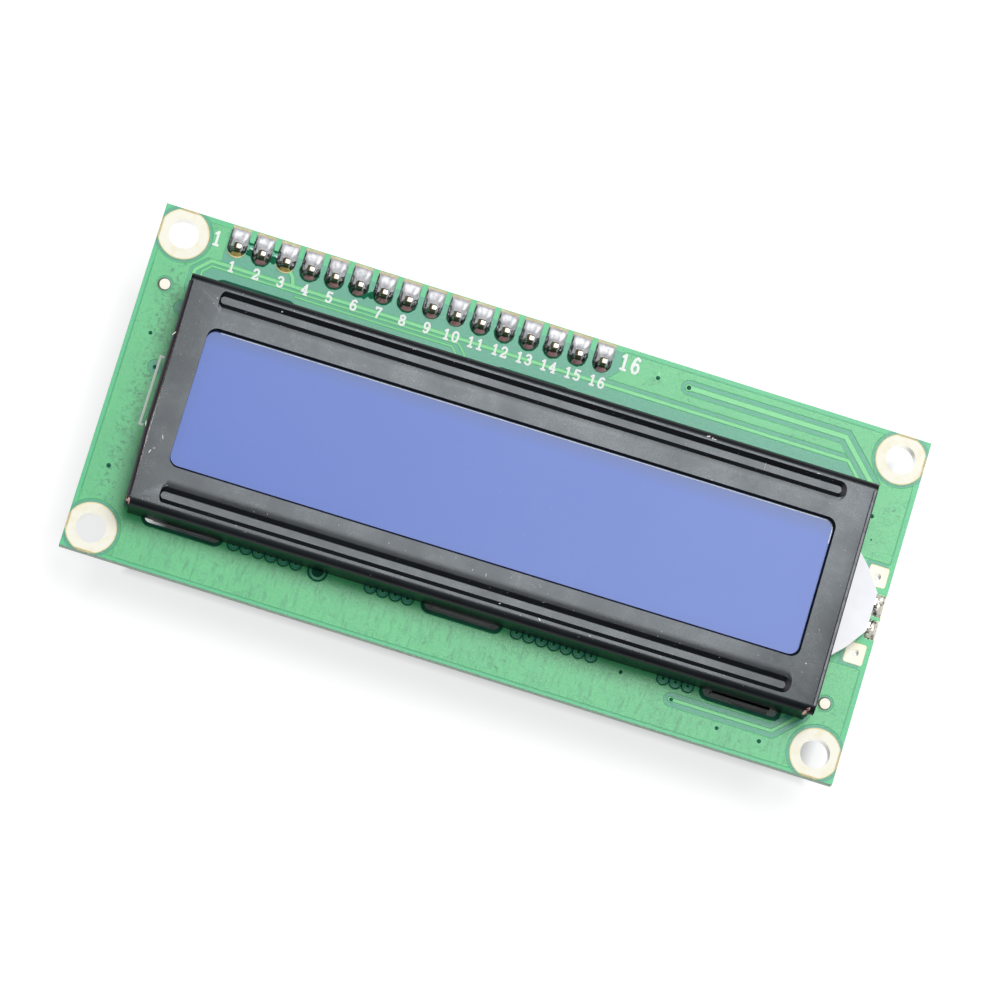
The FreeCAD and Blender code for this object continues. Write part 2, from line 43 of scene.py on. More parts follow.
MM = 0.001
BOARD_X = 40.0
BOARD_Y = 18.0
BOARD_FRONT = 1.6
HOLE_X = 37.5
HOLE_Y = 15.5
CORNER_HOLES = [(x, y) for x in (-HOLE_X, HOLE_X) for y in (-HOLE_Y, HOLE_Y)]
RING_OPENING = 2.4
WIRE_HOLES = [(38.57, 3.4), (38.55, -4.6)]
LEAD_PADS = [(-0.55, 1.75), (-2.9, -0.9)]
FIDUCIALS = [(-37.8, 10.1), (37.05, -10.4)]
PIN_PITCH = 2.54
PIN_PLACES = [-32.05 + PIN_PITCH * index for index in range(16)]
PIN_Y = 15.7
PIN_TOP = 3.1
PAD_HALF = 0.975
PAD_NORTH = 17.93
GILT_JOINTS = (0, 2)
BEZEL_WEST = -35.46
BEZEL_EAST = 35.8
BEZEL_SOUTH = -12.78
BEZEL_NORTH = 11.34
BEZEL_TOP = 6.6
BEZEL_TURN = math.radians(0.3)
SHEET = 0.4
SIDE_BEND = 0.86
WEST_BEND = 0.4
EAST_BEND = 0.5
WINDOW = (-32.22, 32.7, -7.93, 6.6)
WINDOW_CORNER = 1.0
LIP_LEAN = (0.02, 0.18, 0.24, 0.21)
SOUTH_GROOVE = BEZEL_SOUTH + 1.96
NORTH_GROOVE = BEZEL_NORTH - 1.77
TAB_MIDDLES = (-28.9, 0.0, 28.9)
TAB_SLOTS = [(x, y) for x in TAB_MIDDLES for y in (BEZEL_SOUTH + 0.1, BEZEL_NORTH - 0.1)]
LAMINATE_HEIGHT = BOARD_FRONT + 0.006
COPPER_HEIGHT = BOARD_FRONT + 0.03
PAD_FOOT = LAMINATE_HEIGHT - 0.004
PAD_HEIGHT = COPPER_HEIGHT - 0.006
LAP_HEIGHT = BOARD_FRONT + 0.056
SILK_HEIGHT = COPPER_HEIGHT + 0.014

# Shader nodes. A value is a number, a colour or the output of another node


class Nodes:
    def __init__(self, tree):
        self.tree = tree

    def feed(self, node, name, value):
        socket = node.inputs[name]
        if isinstance(value, bpy.types.NodeSocket):
            self.tree.links.new(value, socket)
        elif socket.type == "RGBA":
            socket.default_value = (*value, 1.0)
        else:
            socket.default_value = value

    def add(self, kind, inputs=(), **settings):
        node = self.tree.nodes.new("ShaderNode" + kind)
        for name, value in settings.items():
            setattr(node, name, value)
        for name, value in dict(inputs).items():
            self.feed(node, name, value)
        return node

    def combine(self, operation, first, second):
        return self.add("Math", {0: first, 1: second}, operation=operation).outputs[0]

    def times(self, first, second):
        return self.combine("MULTIPLY", first, second)

    def plus(self, first, second):
        return self.combine("ADD", first, second)

    def minus(self, first, second):
        return self.combine("SUBTRACT", first, second)

    def larger(self, first, second):
        return self.combine("MAXIMUM", first, second)

    def unsigned(self, value):
        return self.combine("ABSOLUTE", value, 0.0)

    def remap(self, value, low, high, to_low=0.0, to_high=1.0):
        return self.add("MapRange", {"Value": value, "From Min": low, "From Max": high,
                                     "To Min": to_low, "To Max": to_high}).outputs["Result"]

    def blend(self, factor, first, second):
        return self.add("Mix", {"Factor": factor, 6: first, 7: second}, data_type="RGBA").outputs[2]

    def parts(self, vector):
        split = self.add("SeparateXYZ", {"Vector": vector}).outputs
        return split["X"], split["Y"], split["Z"]


# A material whose patterns come from noise in the object's own millimetres

class Paint(Nodes):
    def __init__(self, name):
        self.made = bpy.data.materials.new(name)
        self.made.use_nodes = True
        super().__init__(self.made.node_tree)
        self.shader = self.tree.nodes["Principled BSDF"]
        metres = self.add("TexCoord").outputs["Object"]
        scaled = self.add("VectorMath", {0: metres, "Scale": 1 / MM}, operation="SCALE")
        self.place = scaled.outputs["Vector"]

    def set(self, name, value):
        self.feed(self.shader, name, value)

    def stretched(self, along, across):
        return self.add("VectorMath", {0: self.place, 1: (along, across, 1.0)},
                        operation="MULTIPLY").outputs["Vector"]

    def normal(self):
        return self.parts(self.add("NewGeometry").outputs["Normal"])

    def level(self):
        return self.unsigned(self.normal()[2])

    def noise(self, scale, detail=3.0, rough=0.5, distortion=0.0, vector=None):
        place = self.place if vector is None else vector
        return self.add("TexNoise", {"Scale": scale, "Detail": detail, "Roughness": rough,
                                     "Distortion": distortion, "Vector": place}).outputs["Fac"]

    def bump(self, height, distance):
        node = self.add("Bump", {"Strength": 1.0, "Distance": distance * MM, "Height": height})
        self.set("Normal", node.outputs["Normal"])


# One finish for most pieces: a colour with soft patches, uneven gloss and a fine grain

def finish(name, colour, patch, rough=0.4, metallic=0.0, specular=0.5, scale=0.8,
           low=0.45, high=0.7, grain=8.0, depth=0.004, rough_spread=0.08):
    paint = Paint(name)
    patches = paint.remap(paint.noise(scale, 5.0, 0.6), low, high)
    paint.set("Base Color", paint.blend(patches, colour, patch))
    fine = paint.noise(grain, 4.0, 0.55)
    paint.set("Roughness", paint.remap(fine, 0.3, 0.7, rough - rough_spread, rough + rough_spread))
    paint.set("Metallic", metallic)
    paint.set("Specular IOR Level", specular)
    paint.bump(fine, depth)
    return paint.made


# Green mask: smudges, and a slight ripple over the weave below. The blotched one also has
# dark blotches near its west end and darker streaks in the south

def mask(name, colour, dark, smudge=0.5, blotched=False):
    paint = Paint(name)
    cloud = paint.noise(0.35, 4.0, 0.6, 0.4)
    spots = paint.noise(1.6, 5.0, 0.65, 0.8)
    marks = paint.times(paint.remap(cloud, 0.42, 0.62), paint.remap(spots, 0.52, 0.68))
    if blotched:
        x, y, z = paint.parts(paint.place)
        west = paint.times(paint.remap(x, -35.6, -36.6), paint.remap(x, -38.9, -37.6))
        blots = paint.remap(paint.noise(2.0, 5.0, 0.7, 0.3), 0.52, 0.6)
        marks = paint.larger(marks, paint.times(west, blots))
        south = paint.remap(y, -12.6, -14.5)
        strokes = paint.noise(1.0, 5.0, 0.7, vector=paint.stretched(2.6, 0.55))
        streaked = paint.times(south, paint.remap(strokes, 0.5, 0.66, 0.0, 0.7))
        marks = paint.larger(marks, streaked)
    tone = paint.blend(paint.times(marks, smudge), colour, dark)
    wash = paint.remap(paint.noise(0.12, 2.0), 0.35, 0.65, 0.0, 0.14)
    paint.set("Base Color", paint.blend(wash, tone, dark))
    fine = paint.noise(5.0)
    paint.set("Roughness", paint.remap(fine, 0.3, 0.7, 0.26, 0.38))
    paint.bump(paint.plus(fine, paint.times(spots, 0.6)), 0.006)
    paint.set("Specular IOR Level", 0.4)
    return paint.made


def bezel_paint():
    paint = Paint("bezel_paint")
    x, y, z = paint.parts(paint.place)
    dull = paint.noise(0.22, 5.0, 0.62, 0.3)
    fine = paint.noise(9.0, 4.0, 0.6)
    streaks = paint.noise(2.2, 3.0, 0.6, 0.3, paint.stretched(2.2, 0.16))
    scratch = paint.remap(streaks, 0.7, 0.76)
    specks = paint.remap(paint.noise(3.4, 2.0), 0.735, 0.76)
    black = paint.blend(paint.remap(dull, 0.4, 0.65), (0.0015, 0.0022, 0.0035), (0.005, 0.0065, 0.009))
    black = paint.blend(paint.times(scratch, 0.3), black, (0.16, 0.17, 0.18))
    black = paint.blend(paint.times(specks, 0.5), black, (0.35, 0.36, 0.38))
    # The coat on faces turned west is grey
    west_grey = paint.remap(paint.normal()[0], -0.25, -0.75)
    paint.set("Base Color", paint.blend(west_grey, black, (0.078, 0.07, 0.082)))
    paint.set("Roughness", paint.plus(paint.remap(dull, 0.35, 0.65, 0.26, 0.34),
                                      paint.remap(fine, 0.3, 0.7, -0.03, 0.05)))
    # The gloss is lower at the west end, most in its north, over the east half, most in its south,
    # and on the east bend. Apart from the east bend, these falls are painted sheen: they follow the
    # lamp's reflection fading
    east = paint.remap(x, 0.0, 12.0, 0.0, 0.06)
    low_east = paint.times(paint.remap(x, 24.0, 34.0, 0.0, 0.17), paint.remap(y, 2.5, -4.0))
    high_west = paint.times(paint.remap(x, -31.5, -33.5, 0.0, 0.09), paint.remap(y, 0.0, 5.0))
    gloss = paint.minus(paint.remap(x, -34.9, -31.0, 0.5, 0.6), paint.plus(east, low_east))
    gloss = paint.minus(gloss, high_west)
    gloss = paint.minus(gloss, paint.remap(x, 34.3, 35.3, 0.0, 0.08))
    # Bends and groove walls get less gloss than the flats, which darkens them: painted shade
    gloss = paint.times(gloss, paint.remap(paint.level(), 0.8, 0.97, 0.45, 1.0))
    paint.set("Specular IOR Level", gloss)
    paint.set("Specular Tint", (0.88, 0.95, 1.0))
    paint.bump(fine, 0.004)
    return paint.made


# The blue display, shaded under the window's upper edge, with a few specks

def display_film():
    paint = Paint("display_film")
    x, y, z = paint.parts(paint.place)
    cloud = paint.remap(paint.noise(0.05, 2.0), 0.35, 0.65)
    fine = paint.noise(14.0, 3.0, 0.6)
    blue = paint.blend(cloud, (0.04, 0.12, 0.5), (0.05, 0.132, 0.51))
    shade = paint.remap(y, WINDOW[3] - 1.9, WINDOW[3], 0.0, 0.7)
    blue = paint.blend(shade, blue, (0.052, 0.105, 0.27))
    specks = paint.remap(paint.noise(6.0, 2.0), 0.74, 0.78)
    paint.set("Base Color", paint.blend(paint.times(specks, 0.35), blue, (0.5, 0.55, 0.65)))
    paint.set("Roughness", paint.remap(fine, 0.3, 0.7, 0.3, 0.42))
    paint.bump(fine, 0.003)
    return paint.made


# The board's own body: green faces, and on the cut edges pale layers of glass cloth

def laminate():
    paint = Paint("board_laminate")
    flat = paint.remap(paint.level(), 0.4, 0.6)
    layers = paint.add("TexWave", {"Scale": 1.6, "Distortion": 2.5, "Detail": 3.0, "Detail Scale": 2.0,
                                   "Vector": paint.place}, bands_direction="Z").outputs["Fac"]
    cloth = paint.noise(2.5, 4.0, 0.6)
    edge = paint.blend(paint.remap(layers, 0.2, 0.8), (0.24, 0.5, 0.32), (0.44, 0.64, 0.48))
    edge = paint.blend(paint.remap(cloth, 0.45, 0.65, 0.0, 0.6), edge, (0.26, 0.32, 0.25))
    green = paint.blend(paint.remap(cloth, 0.4, 0.7, 0.0, 0.6), (0.035, 0.27, 0.13), (0.02, 0.19, 0.09))
    paint.set("Base Color", paint.blend(flat, edge, green))
    paint.set("Roughness", paint.remap(cloth, 0.3, 0.7, 0.35, 0.6))
    paint.bump(cloth, 0.01)
    return paint.made


# Hole plating: gold on the flat rings; the barrels are shiny, and their paler colour is painted light on
# walls in shade

GOLD_PALE = (0.94, 0.92, 0.785)
GOLD_DEEP = (0.89, 0.81, 0.56)


def plating():
    paint = Paint("hole_plating")
    flat = paint.remap(paint.level(), 0.4, 0.6)
    ring = paint.blend(paint.remap(paint.noise(0.9, 5.0, 0.6), 0.5, 0.8), GOLD_PALE, GOLD_DEEP)
    paint.set("Base Color", paint.blend(flat, (0.98, 0.97, 0.9), ring))
    paint.set("Metallic", paint.remap(flat, 0.0, 1.0, 1.0, 0.0))
    fine = paint.noise(8.0, 4.0, 0.55)
    paint.set("Roughness", paint.plus(paint.remap(fine, 0.3, 0.7, 0.18, 0.28),
                                      paint.remap(flat, 0.0, 1.0, 0.0, 0.27)))
    paint.set("Specular IOR Level", 0.4)
    paint.bump(fine, 0.004)
    return paint.made


GREEN_COPPER = mask("mask_over_copper", (0.08, 0.53, 0.195), (0.01, 0.23, 0.09), 0.85, True)
GREEN_BARE = mask("mask_over_laminate", (0.035, 0.352, 0.206), (0.014, 0.23, 0.13), 0.4)
GREEN_RIM = mask("mask_at_board_rim", (0.045, 0.52, 0.2), (0.018, 0.38, 0.14), 0.3)
GREEN_TRACE = mask("mask_over_trace", (0.15, 0.64, 0.24), (0.08, 0.5, 0.19), 0.2)
GREEN_STEP = mask("mask_over_copper_edge", (0.11, 0.52, 0.19), (0.06, 0.38, 0.14), 0.2)
# Dark green that stands in for shade in hollows and under the bezel: painted shade
GREEN_PAINTED_SHADE = finish("mask_with_painted_shade", (0.004, 0.11, 0.06), (0.002, 0.07, 0.04), rough=0.6,
                    specular=0.15)
FLUX = finish("flux_residue", (0.003, 0.14, 0.065), (0.001, 0.07, 0.032), specular=0.03, scale=3.0)
LAMINATE = laminate()
PLATED = plating()
GOLD = finish("gold_plating", GOLD_PALE, GOLD_DEEP, rough=0.5, metallic=0.05, specular=0.4, scale=0.9,
              low=0.5, high=0.8)
GOLD_EDGE = finish("gold_edge", (0.9, 0.74, 0.37), (0.76, 0.58, 0.24), rough=0.45, specular=0.3,
                   scale=1.2)
TAN = finish("bare_copper_edge", (0.58, 0.5, 0.27), (0.72, 0.68, 0.45), rough=0.5, specular=0.2,
             scale=1.6)
MASK_EDGE_SHADOW = finish("mask_edge_and_painted_shadow", (0.085, 0.105, 0.048), (0.22, 0.3, 0.17), rough=0.5, specular=0.2,
               scale=0.7)
TIN_PAD = finish("tinned_pad", (0.22, 0.17, 0.14), (0.12, 0.08, 0.07), rough=0.35, metallic=0.5,
                 scale=1.6)
SILK = finish("silk_ink", (0.92, 0.94, 0.92), (0.84, 0.88, 0.85), rough=0.6, scale=3.0, grain=14.0,
              depth=0.006)
BEZEL_PAINT = bezel_paint()
BARE_METAL = finish("bezel_bare_edge", (0.78, 0.46, 0.42), (0.5, 0.26, 0.23), rough=0.45, metallic=0.2,
                    scale=3.0, grain=12.0, depth=0.02)
WINDOW_EDGE = finish("window_edge_painted_shade", (0.006, 0.007, 0.009), (0.014, 0.015, 0.018), rough=0.6,
                     specular=0.12, scale=3.0)
GREY_BEND_PAINT = finish("grey_bend_paint", (0.3, 0.305, 0.33), (0.16, 0.16, 0.18), rough=0.3, scale=1.5)
DUST = finish("dust", (0.8, 0.8, 0.78), (0.6, 0.58, 0.55), rough=0.8, specular=0.2)
DISPLAY = display_film()
PALE_LINE_PAINT = finish("polarizer_pale_line", (0.72, 0.8, 0.9), (0.46, 0.55, 0.74), rough=0.3, scale=0.6)
GLASS = finish("display_glass", (0.42, 0.52, 0.52), (0.34, 0.44, 0.46), rough=0.12, scale=0.4)
FILM = finish("polarizer_film", (0.16, 0.17, 0.21), (0.12, 0.13, 0.17), rough=0.3)
ZEBRA = finish("zebra_rubber", (0.5, 0.22, 0.22), (0.36, 0.15, 0.15), rough=0.7)
WHITE = finish("white_housing", (0.86, 0.87, 0.9), (0.8, 0.81, 0.85), rough=0.42, scale=0.3,
               grain=10.0, depth=0.003)
SOLDER = finish("solder", (0.72, 0.72, 0.74), (0.46, 0.46, 0.48), rough=0.42, metallic=0.7, scale=2.2,
                grain=4.0, depth=0.002, rough_spread=0.05)
# A darker copy of the solder: painted shade
SOLDER_SHADE = finish("solder_shade", (0.34, 0.33, 0.34), (0.07, 0.065, 0.06), rough=0.26, metallic=0.9,
                      scale=3.0, low=0.42, high=0.56)
EDGE_SOLDER = finish("edge_solder", (0.86, 0.83, 0.74), (0.1, 0.09, 0.08), rough=0.3, metallic=0.5,
                     scale=2.2, low=0.52, high=0.58, depth=0.008)
# Pinkish solder colour: a painted reflection on the south slopes
SOLDER_SOUTH_REFLECTION = finish("solder_stain", (0.62, 0.34, 0.36), (0.32, 0.17, 0.17), rough=0.35, metallic=0.2,
               scale=2.5)
GILT = finish("solder_gilt", (0.95, 0.64, 0.24), (0.62, 0.36, 0.08), rough=0.35, metallic=0.1, scale=2.5)
GLINT = finish("flux_glint", (0.62, 0.8, 0.74), (0.4, 0.6, 0.52), rough=0.35, scale=4.0)
TIN = finish("tinned_pin", (0.72, 0.66, 0.52), (0.6, 0.53, 0.38), rough=0.3, metallic=0.85, scale=2.0)
PIN_CUT = finish("pin_cut_face", (0.93, 0.89, 0.76), (0.8, 0.74, 0.58), rough=0.35, metallic=0.4,
                 scale=3.0)
# Dark pin colour: painted shade
PIN_SHADE = finish("pin_side", (0.1, 0.075, 0.035), (0.035, 0.026, 0.014), metallic=0.3, specular=0.3,
                   scale=3.0)
HEADER_BLACK = finish("header_plastic", (0.016, 0.016, 0.017), (0.026, 0.026, 0.028), rough=0.42,
                      grain=10.0, depth=0.006)
EPOXY = finish("black_epoxy", (0.008, 0.008, 0.009), (0.014, 0.014, 0.016), rough=0.24, scale=0.5,
               grain=2.0, depth=0.01)
CHIP = finish("chip_body", (0.035, 0.034, 0.036), (0.055, 0.052, 0.05))

# Pieces are made from points in millimetres


def make_piece(name, points, faces, materials, which=None, smooth=False):
    mesh = bpy.data.meshes.new(name)
    mesh.from_pydata([(x * MM, y * MM, z * MM) for x, y, z in points], [], faces)
    for made in materials:
        mesh.materials.append(made)
    if which:
        mesh.polygons.foreach_set("material_index", which)
    mesh.polygons.foreach_set("use_smooth", [smooth] * len(mesh.polygons))
    mesh.update()
    piece = bpy.data.objects.new(name, mesh)
    bpy.context.scene.collection.objects.link(piece)
    return piece


def ride(piece):
    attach(piece, "root")


def soften(piece, width, segments=2):
    modifier = piece.modifiers.new("soft_edges", "BEVEL")
    modifier.width = width * MM
    modifier.segments = segments
    modifier.limit_method = "ANGLE"
    modifier.angle_limit = math.radians(35)


def sharpen(piece, name, angle):
    modifier = piece.modifiers.new(name, "EDGE_SPLIT")
    modifier.split_angle = math.radians(angle)


def thicken(piece, name, thickness):
    modifier = piece.modifiers.new(name, "SOLIDIFY")
    modifier.thickness = thickness * MM
    modifier.offset = -1.0
    return modifier


# Rows of points, joined to quads. A closed row runs round

def strip_faces(rows, count, closed=True, skip=()):
    faces = []
    for row in range(rows - 1):
        for column in range(count if closed else count - 1):
            if (row, column) not in skip:
                here = row * count + column
                beside = row * count + (column + 1) % count
                faces.append([here, here + count, beside + count, beside])
    return faces


def flipped(faces):
    return [face[::-1] for face in faces]


def moved_on(faces, start):
    return [[start + corner for corner in face] for face in faces]


# Outlines in the plane of the board, counter-clockwise


def box(west, east, south, north):
    return [(west, south), (east, south), (east, north), (west, north)]


def arc(x, y, radius, start, finish, steps):
    points = []
    for step in range(steps + 1):
        angle = math.radians(start + (finish - start) * step / steps)
        points.append((x + radius * math.cos(angle), y + radius * math.sin(angle)))
    return points


def disc(x, y, radius, steps=32):
    return arc(x, y, radius, 0, 360, steps)[:-1]


def clipped_disc(x, y, radius, inset=0.015):
    limit_x = BOARD_X - inset
    limit_y = BOARD_Y - inset
    return [(max(-limit_x, min(limit_x, px)), max(-limit_y, min(limit_y, py)))
            for px, py in disc(x, y, radius, 56)]


def blob(x, y, radius, rough, steps=14):
    return [(x + px * random.uniform(1 - rough, 1 + rough), y + py * random.uniform(1 - rough, 1 + rough))
            for px, py in disc(0, 0, radius, steps)]


def round_box(west, east, south, north, radius, steps=6):
    centres = box(west + radius, east - radius, south + radius, north - radius)
    return [point for turn, (x, y) in enumerate(centres[2:] + centres[:2])
            for point in arc(x, y, radius, 90 * turn, 90 * turn + 90, steps)]


def oval(west, east, middle, half, steps=10):
    return arc(east - half, middle, half, -90, 90, steps) + arc(west + half, middle, half, 90, 270, steps)


# A band of even width along a line, with mitred bends and round or flat ends

def band(line, half, round_ends=True):
    ways = [Vector((b[0] - a[0], b[1] - a[1])).normalized() for a, b in zip(line, line[1:])]
    right, left = [], []
    for (x, y), before, after in zip(line, ways[:1] + ways, ways + ways[-1:]):
        across = Vector((before.y + after.y, -before.x - after.x)).normalized()
        mitre = half / max(0.35, across.dot(Vector((before.y, -before.x))))
        right.append((x + across.x * mitre, y + across.y * mitre))
        left.append((x - across.x * mitre, y - across.y * mitre))
    if not round_ends:
        return right + left[::-1]
    return right + round_cap(line[-2], line[-1], half) + left[::-1] + round_cap(line[1], line[0], half)


def round_cap(before, end, half):
    turn = math.degrees(math.atan2(end[1] - before[1], end[0] - before[0]))
    return arc(*end, half, turn - 90, turn + 90, 6)[1:-1]


def signed_area(outline):
    return sum(a[0] * b[1] - b[0] * a[1] for a, b in zip(outline, outline[1:] + outline[:1])) / 2


# Overlapping outlines become one flat map of triangles. Where outlines overlap, the later one counts

def flat_map(shapes):
    spots, faces = [], []
    for kind, outline in shapes:
        if signed_area(outline) < 0:
            outline = outline[::-1]
        faces.append(list(range(len(spots), len(spots) + len(outline))))
        spots.extend(Vector(point) for point in outline)
    out = delaunay_2d_cdt(spots, [], faces, 1, 1e-5, True)
    kept = [(triangle, shapes[max(source)][0]) for triangle, source in zip(out[2], out[5]) if source]
    return out[0], kept


# The map's triangles of the given kinds, as a sheet with sloping edges down to its foot

def raised_piece(name, chart, layers, height, step_material, foot=0.0, spread=0.0):
    corners, triangles = chart
    chosen = [(triangle, kind) for triangle, kind in triangles if kind in layers]
    order = list(layers)
    used = {}
    points, faces, which = [], [], []
    for triangle, kind in chosen:
        for corner in triangle:
            if corner not in used:
                used[corner] = len(points)
                points.append((corners[corner].x, corners[corner].y, height))
        faces.append([used[corner] for corner in triangle])
        which.append(order.index(kind))
    if spread:
        sides = {side for triangle, kind in chosen
                 for side in zip(triangle, list(triangle[1:]) + [triangle[0]])}
        rim = sorted((a, b) for a, b in sides if (b, a) not in sides)
        normals = {}
        for a, b in rim:
            along = (corners[b] - corners[a]).normalized()
            for corner in (a, b):
                normals.setdefault(corner, []).append(Vector((along.y, -along.x)))
        low = {}
        for corner in sorted(normals):
            total = sum(normals[corner], Vector((0, 0)))
            if total.length < 0.2:
                total = normals[corner][0].copy()
            total.normalize()
            reach = spread / max(0.5, total.dot(normals[corner][0]))
            low[corner] = len(points)
            points.append((corners[corner].x + total.x * reach,
                           corners[corner].y + total.y * reach, foot))
        for a, b in rim:
            faces.append([used[b], used[a], low[a], low[b]])
            which.append(len(layers))
    return make_piece(name, points, faces, [*layers.values(), step_material], which)


# Board front: one map of copper, bare laminate, tracks, pads and openings

shapes = []


def draw(kind, outline):
    shapes.append((kind, outline))


RIM_X = BOARD_X - 0.01
RIM_Y = BOARD_Y - 0.01
COPPER_BOX = (-39.5, 39.4, -17.6, 17.45)
COPPER_GAPS = [
    [(-34.2, -17.66), (34.2, -17.66)], [(39.48, -12.2), (39.48, -6.3)], [(39.48, 5.1), (39.48, 12.2)],
    [(34.2, 17.53), (8.1, 17.53)], [(-39.56, 12.0), (-39.56, -12.0)]]
HEADER_FIELD = [
    (-33.2, 17.46), (-33.2, 14.0), (-34.5, 14.0), (-35.95, 12.6), (-35.95, 10.3), (-35.2, 9.5),
    (35.2, 9.5), (35.2, 11.2), (33.9, 12.5), (32.0, 14.4), (7.05, 14.4), (8.0, 15.4), (8.0, 17.46)]
BEZEL_FIELD = (-35.2, 35.3, -12.5, 10.0)
SIGNAL = [(15.1, 16.0), (31.6, 16.0), (35.4, 12.2), (35.4, 10.0)]
RETURN = [(22.2, -14.62), (32.7, -14.62), (35.2, -12.1)]
BACKLIGHT_GROUND = (35.0, BOARD_X - 0.015, -6.2, 4.95)
BACKLIGHT_FIELDS = [(37.08, 39.3, 2.4, 4.95), (37.02, 39.2, -6.2, -3.6)]
BACKLIGHT_PADS = [(37.55, 39.55, 2.4, 4.5), (37.5, 39.5, -5.75, -3.6)]
LONE_DOTS = [(-35.6, 8.3, 0.75), (-36.25, 1.8, 0.8)]
TEST_POINT = (-14.9, -12.9)
VIA_ROWS = [(-23.6, 6), (-9.46, 4), (5.7, 7), (20.9, 3)]
VIA_STEP = 1.285
ROW_VIAS = [(start + VIA_STEP * index, -12.85) for start, count in VIA_ROWS for index in range(count)]

draw("rim", box(-RIM_X, RIM_X, -RIM_Y, RIM_Y))
draw("copper", box(*COPPER_BOX))
for line in COPPER_GAPS:
    draw("bare", band(line, 0.085, False))
draw("bare", HEADER_FIELD)
draw("rim", box(-33.2, 8.0, 17.44, RIM_Y))
draw("bare", box(*BEZEL_FIELD))
draw("bare", band(SIGNAL, 0.82))
draw("bare", band(RETURN, 0.78))
for x, y in CORNER_HOLES:
    draw("bare", clipped_disc(x, y, 2.98))
    draw("gold_edge", clipped_disc(x, y, 2.7))

# Fields of the backlight's two pads, and small round fields

draw("rim", box(*BACKLIGHT_GROUND))
for field in BACKLIGHT_FIELDS:
    draw("bare", box(*field))
for x, y in FIDUCIALS:
    draw("bare", disc(x, y, 0.9, 36))
for x, y, radius in LONE_DOTS:
    draw("bare", disc(x, y, radius, 28))

# Rings round the row of vias south of the bezel, round its slots and at the test point, in dark green:
# painted shade of the bezel and of the hollows

for x, y in ROW_VIAS:
    draw("deep", disc(x, y, 0.76, 28))
for x, y in TAB_SLOTS:
    draw("deep", oval(x - 4.35, x + 4.35, y, 1.05))
for kind, radius, steps in (("deep", 1.12, 32), ("bare", 0.86, 32), ("via", 0.62, 28)):
    draw(kind, disc(*TEST_POINT, radius, steps))

# Flux left between the first joints, and dark green rings round the south of most joints' feet

random.seed(7)
for index, x in enumerate(PIN_PLACES):
    if index in (0, 1):
        draw("flux", blob(x + 1.35, 15.68, 0.4, 0.25))
        draw("flux", blob(x + 1.3, 16.75, 0.36, 0.25))
    if index in (1, 3, 4, 5, 6, 7, 10, 11, 12, 13, 14):
        draw("flux", blob(x, 15.66, 1.06, 0.04, 28))
    if index == 5:
        draw("flux", blob(x + 0.75, 15.1, 0.42, 0.2))
        draw("flux", blob(x + 1.45, 15.3, 0.4, 0.2))

# Tracks in the bare field, each with half its width, and vias

TRACKS = [
    (SIGNAL, 0.23),
    (RETURN, 0.14),
    ([(-35.4, 9.8), (-35.4, 12.4), (-34.05, 13.75), (32.5, 13.75), (34.6, 11.6), (34.6, 10.0)], 0.15),
    ([(-34.66, 9.8), (-34.66, 12.45), (-33.86, 13.25), (-8.2, 13.25), (-7.3, 12.35), (-7.3, 10.0)],
     0.07),
    ([(-25.1, 12.78), (-8.75, 12.78), (-8.2, 12.2), (-8.2, 10.0)], 0.06),
    ([(PIN_PLACES[2] + 0.5, 15.3), (-25.9, 14.6), (-25.6, 13.75)], 0.15),
    ([(11.86, 16.0), (11.86, 16.6)], 0.12),
]
VIAS = [(-37.7, 4.95, 0.2), (-37.68, -9.03, 0.24), (-36.25, 1.8, 0.2), (11.86, 16.0, 0.22),
        (15.1, 16.0, 0.24), (36.3, 9.1, 0.22), (16.7, -13.5, 0.2), (27.4, -16.0, 0.2),
        (31.8, -16.0, 0.22), (22.27, -14.62, 0.2), (36.9, 6.8, 0.1)]
for line, half in TRACKS:
    draw("trace", band(line, half))
draw("trace", disc(*SIGNAL[0], 0.34, 24))
draw("trace", disc(*RETURN[0], 0.24, 24))
for x, y in ROW_VIAS:
    draw("bare", disc(x, y, 0.56, 20))
# The vias are drawn in that dark green too: painted shade in the open holes
for x, y, radius in VIAS + [(x, y, 0.17) for x, y in ROW_VIAS]:
    draw("via", disc(x, y, radius, 16))

# Plated pads without mask: header, backlight and lead pads, and the fiducial dots

for index, x in enumerate(PIN_PLACES):
    west, east = x - PAD_HALF, x + PAD_HALF
    draw("pad_gilt" if index in GILT_JOINTS else "pad",
         arc(x, 15.74, PAD_HALF, 180, 360, 16) + [(east, PAD_NORTH), (west, PAD_NORTH)])
    draw("tan", box(west, east, 17.72, PAD_NORTH))
    if index:
        draw("rim", box(x - 1.5, x - 1.04, 16.7, RIM_Y))
    # Pale flecks beside the second and third joints are painted glints
    if index in (1, 2):
        draw("painted_glint", blob(x - 1.05, 16.12, 0.1, 0.4))
        draw("painted_glint", blob(x - 1.24, 16.18, 0.07, 0.4))
# Each backlight pad's darker gold rim is wider on its west and north sides; the extra width there is a
# painted shadow of the mask's edge
for west, east, south, north in BACKLIGHT_PADS:
    draw("gold_edge", round_box(west, east, south, north, 0.24))
    draw("gold", round_box(west + 0.05, east - 0.03, south + 0.03, north - 0.06, 0.2))
for south, north in LEAD_PADS:
    draw("gold", box(38.9, BOARD_X - 0.02, south, north))
# Round each fiducial lies a dark olive ring of mask edge, set off to the west and south; its wider side
# is a painted shadow crescent
for x, y in FIDUCIALS:
    draw("olive", disc(x - 0.05, y - 0.03, 0.67))
    draw("gold", disc(x + 0.01, y, 0.54))

# Openings where the corner rings, the wire holes and the bezel's tabs show

for x, y in CORNER_HOLES:
    draw("open", disc(x, y, RING_OPENING, 40))
for x, y in WIRE_HOLES:
    draw("open", disc(x, y, 0.34, 24))
for x, y in TAB_SLOTS:
    draw("open", oval(x - 3.9, x + 3.9, y, 0.6))

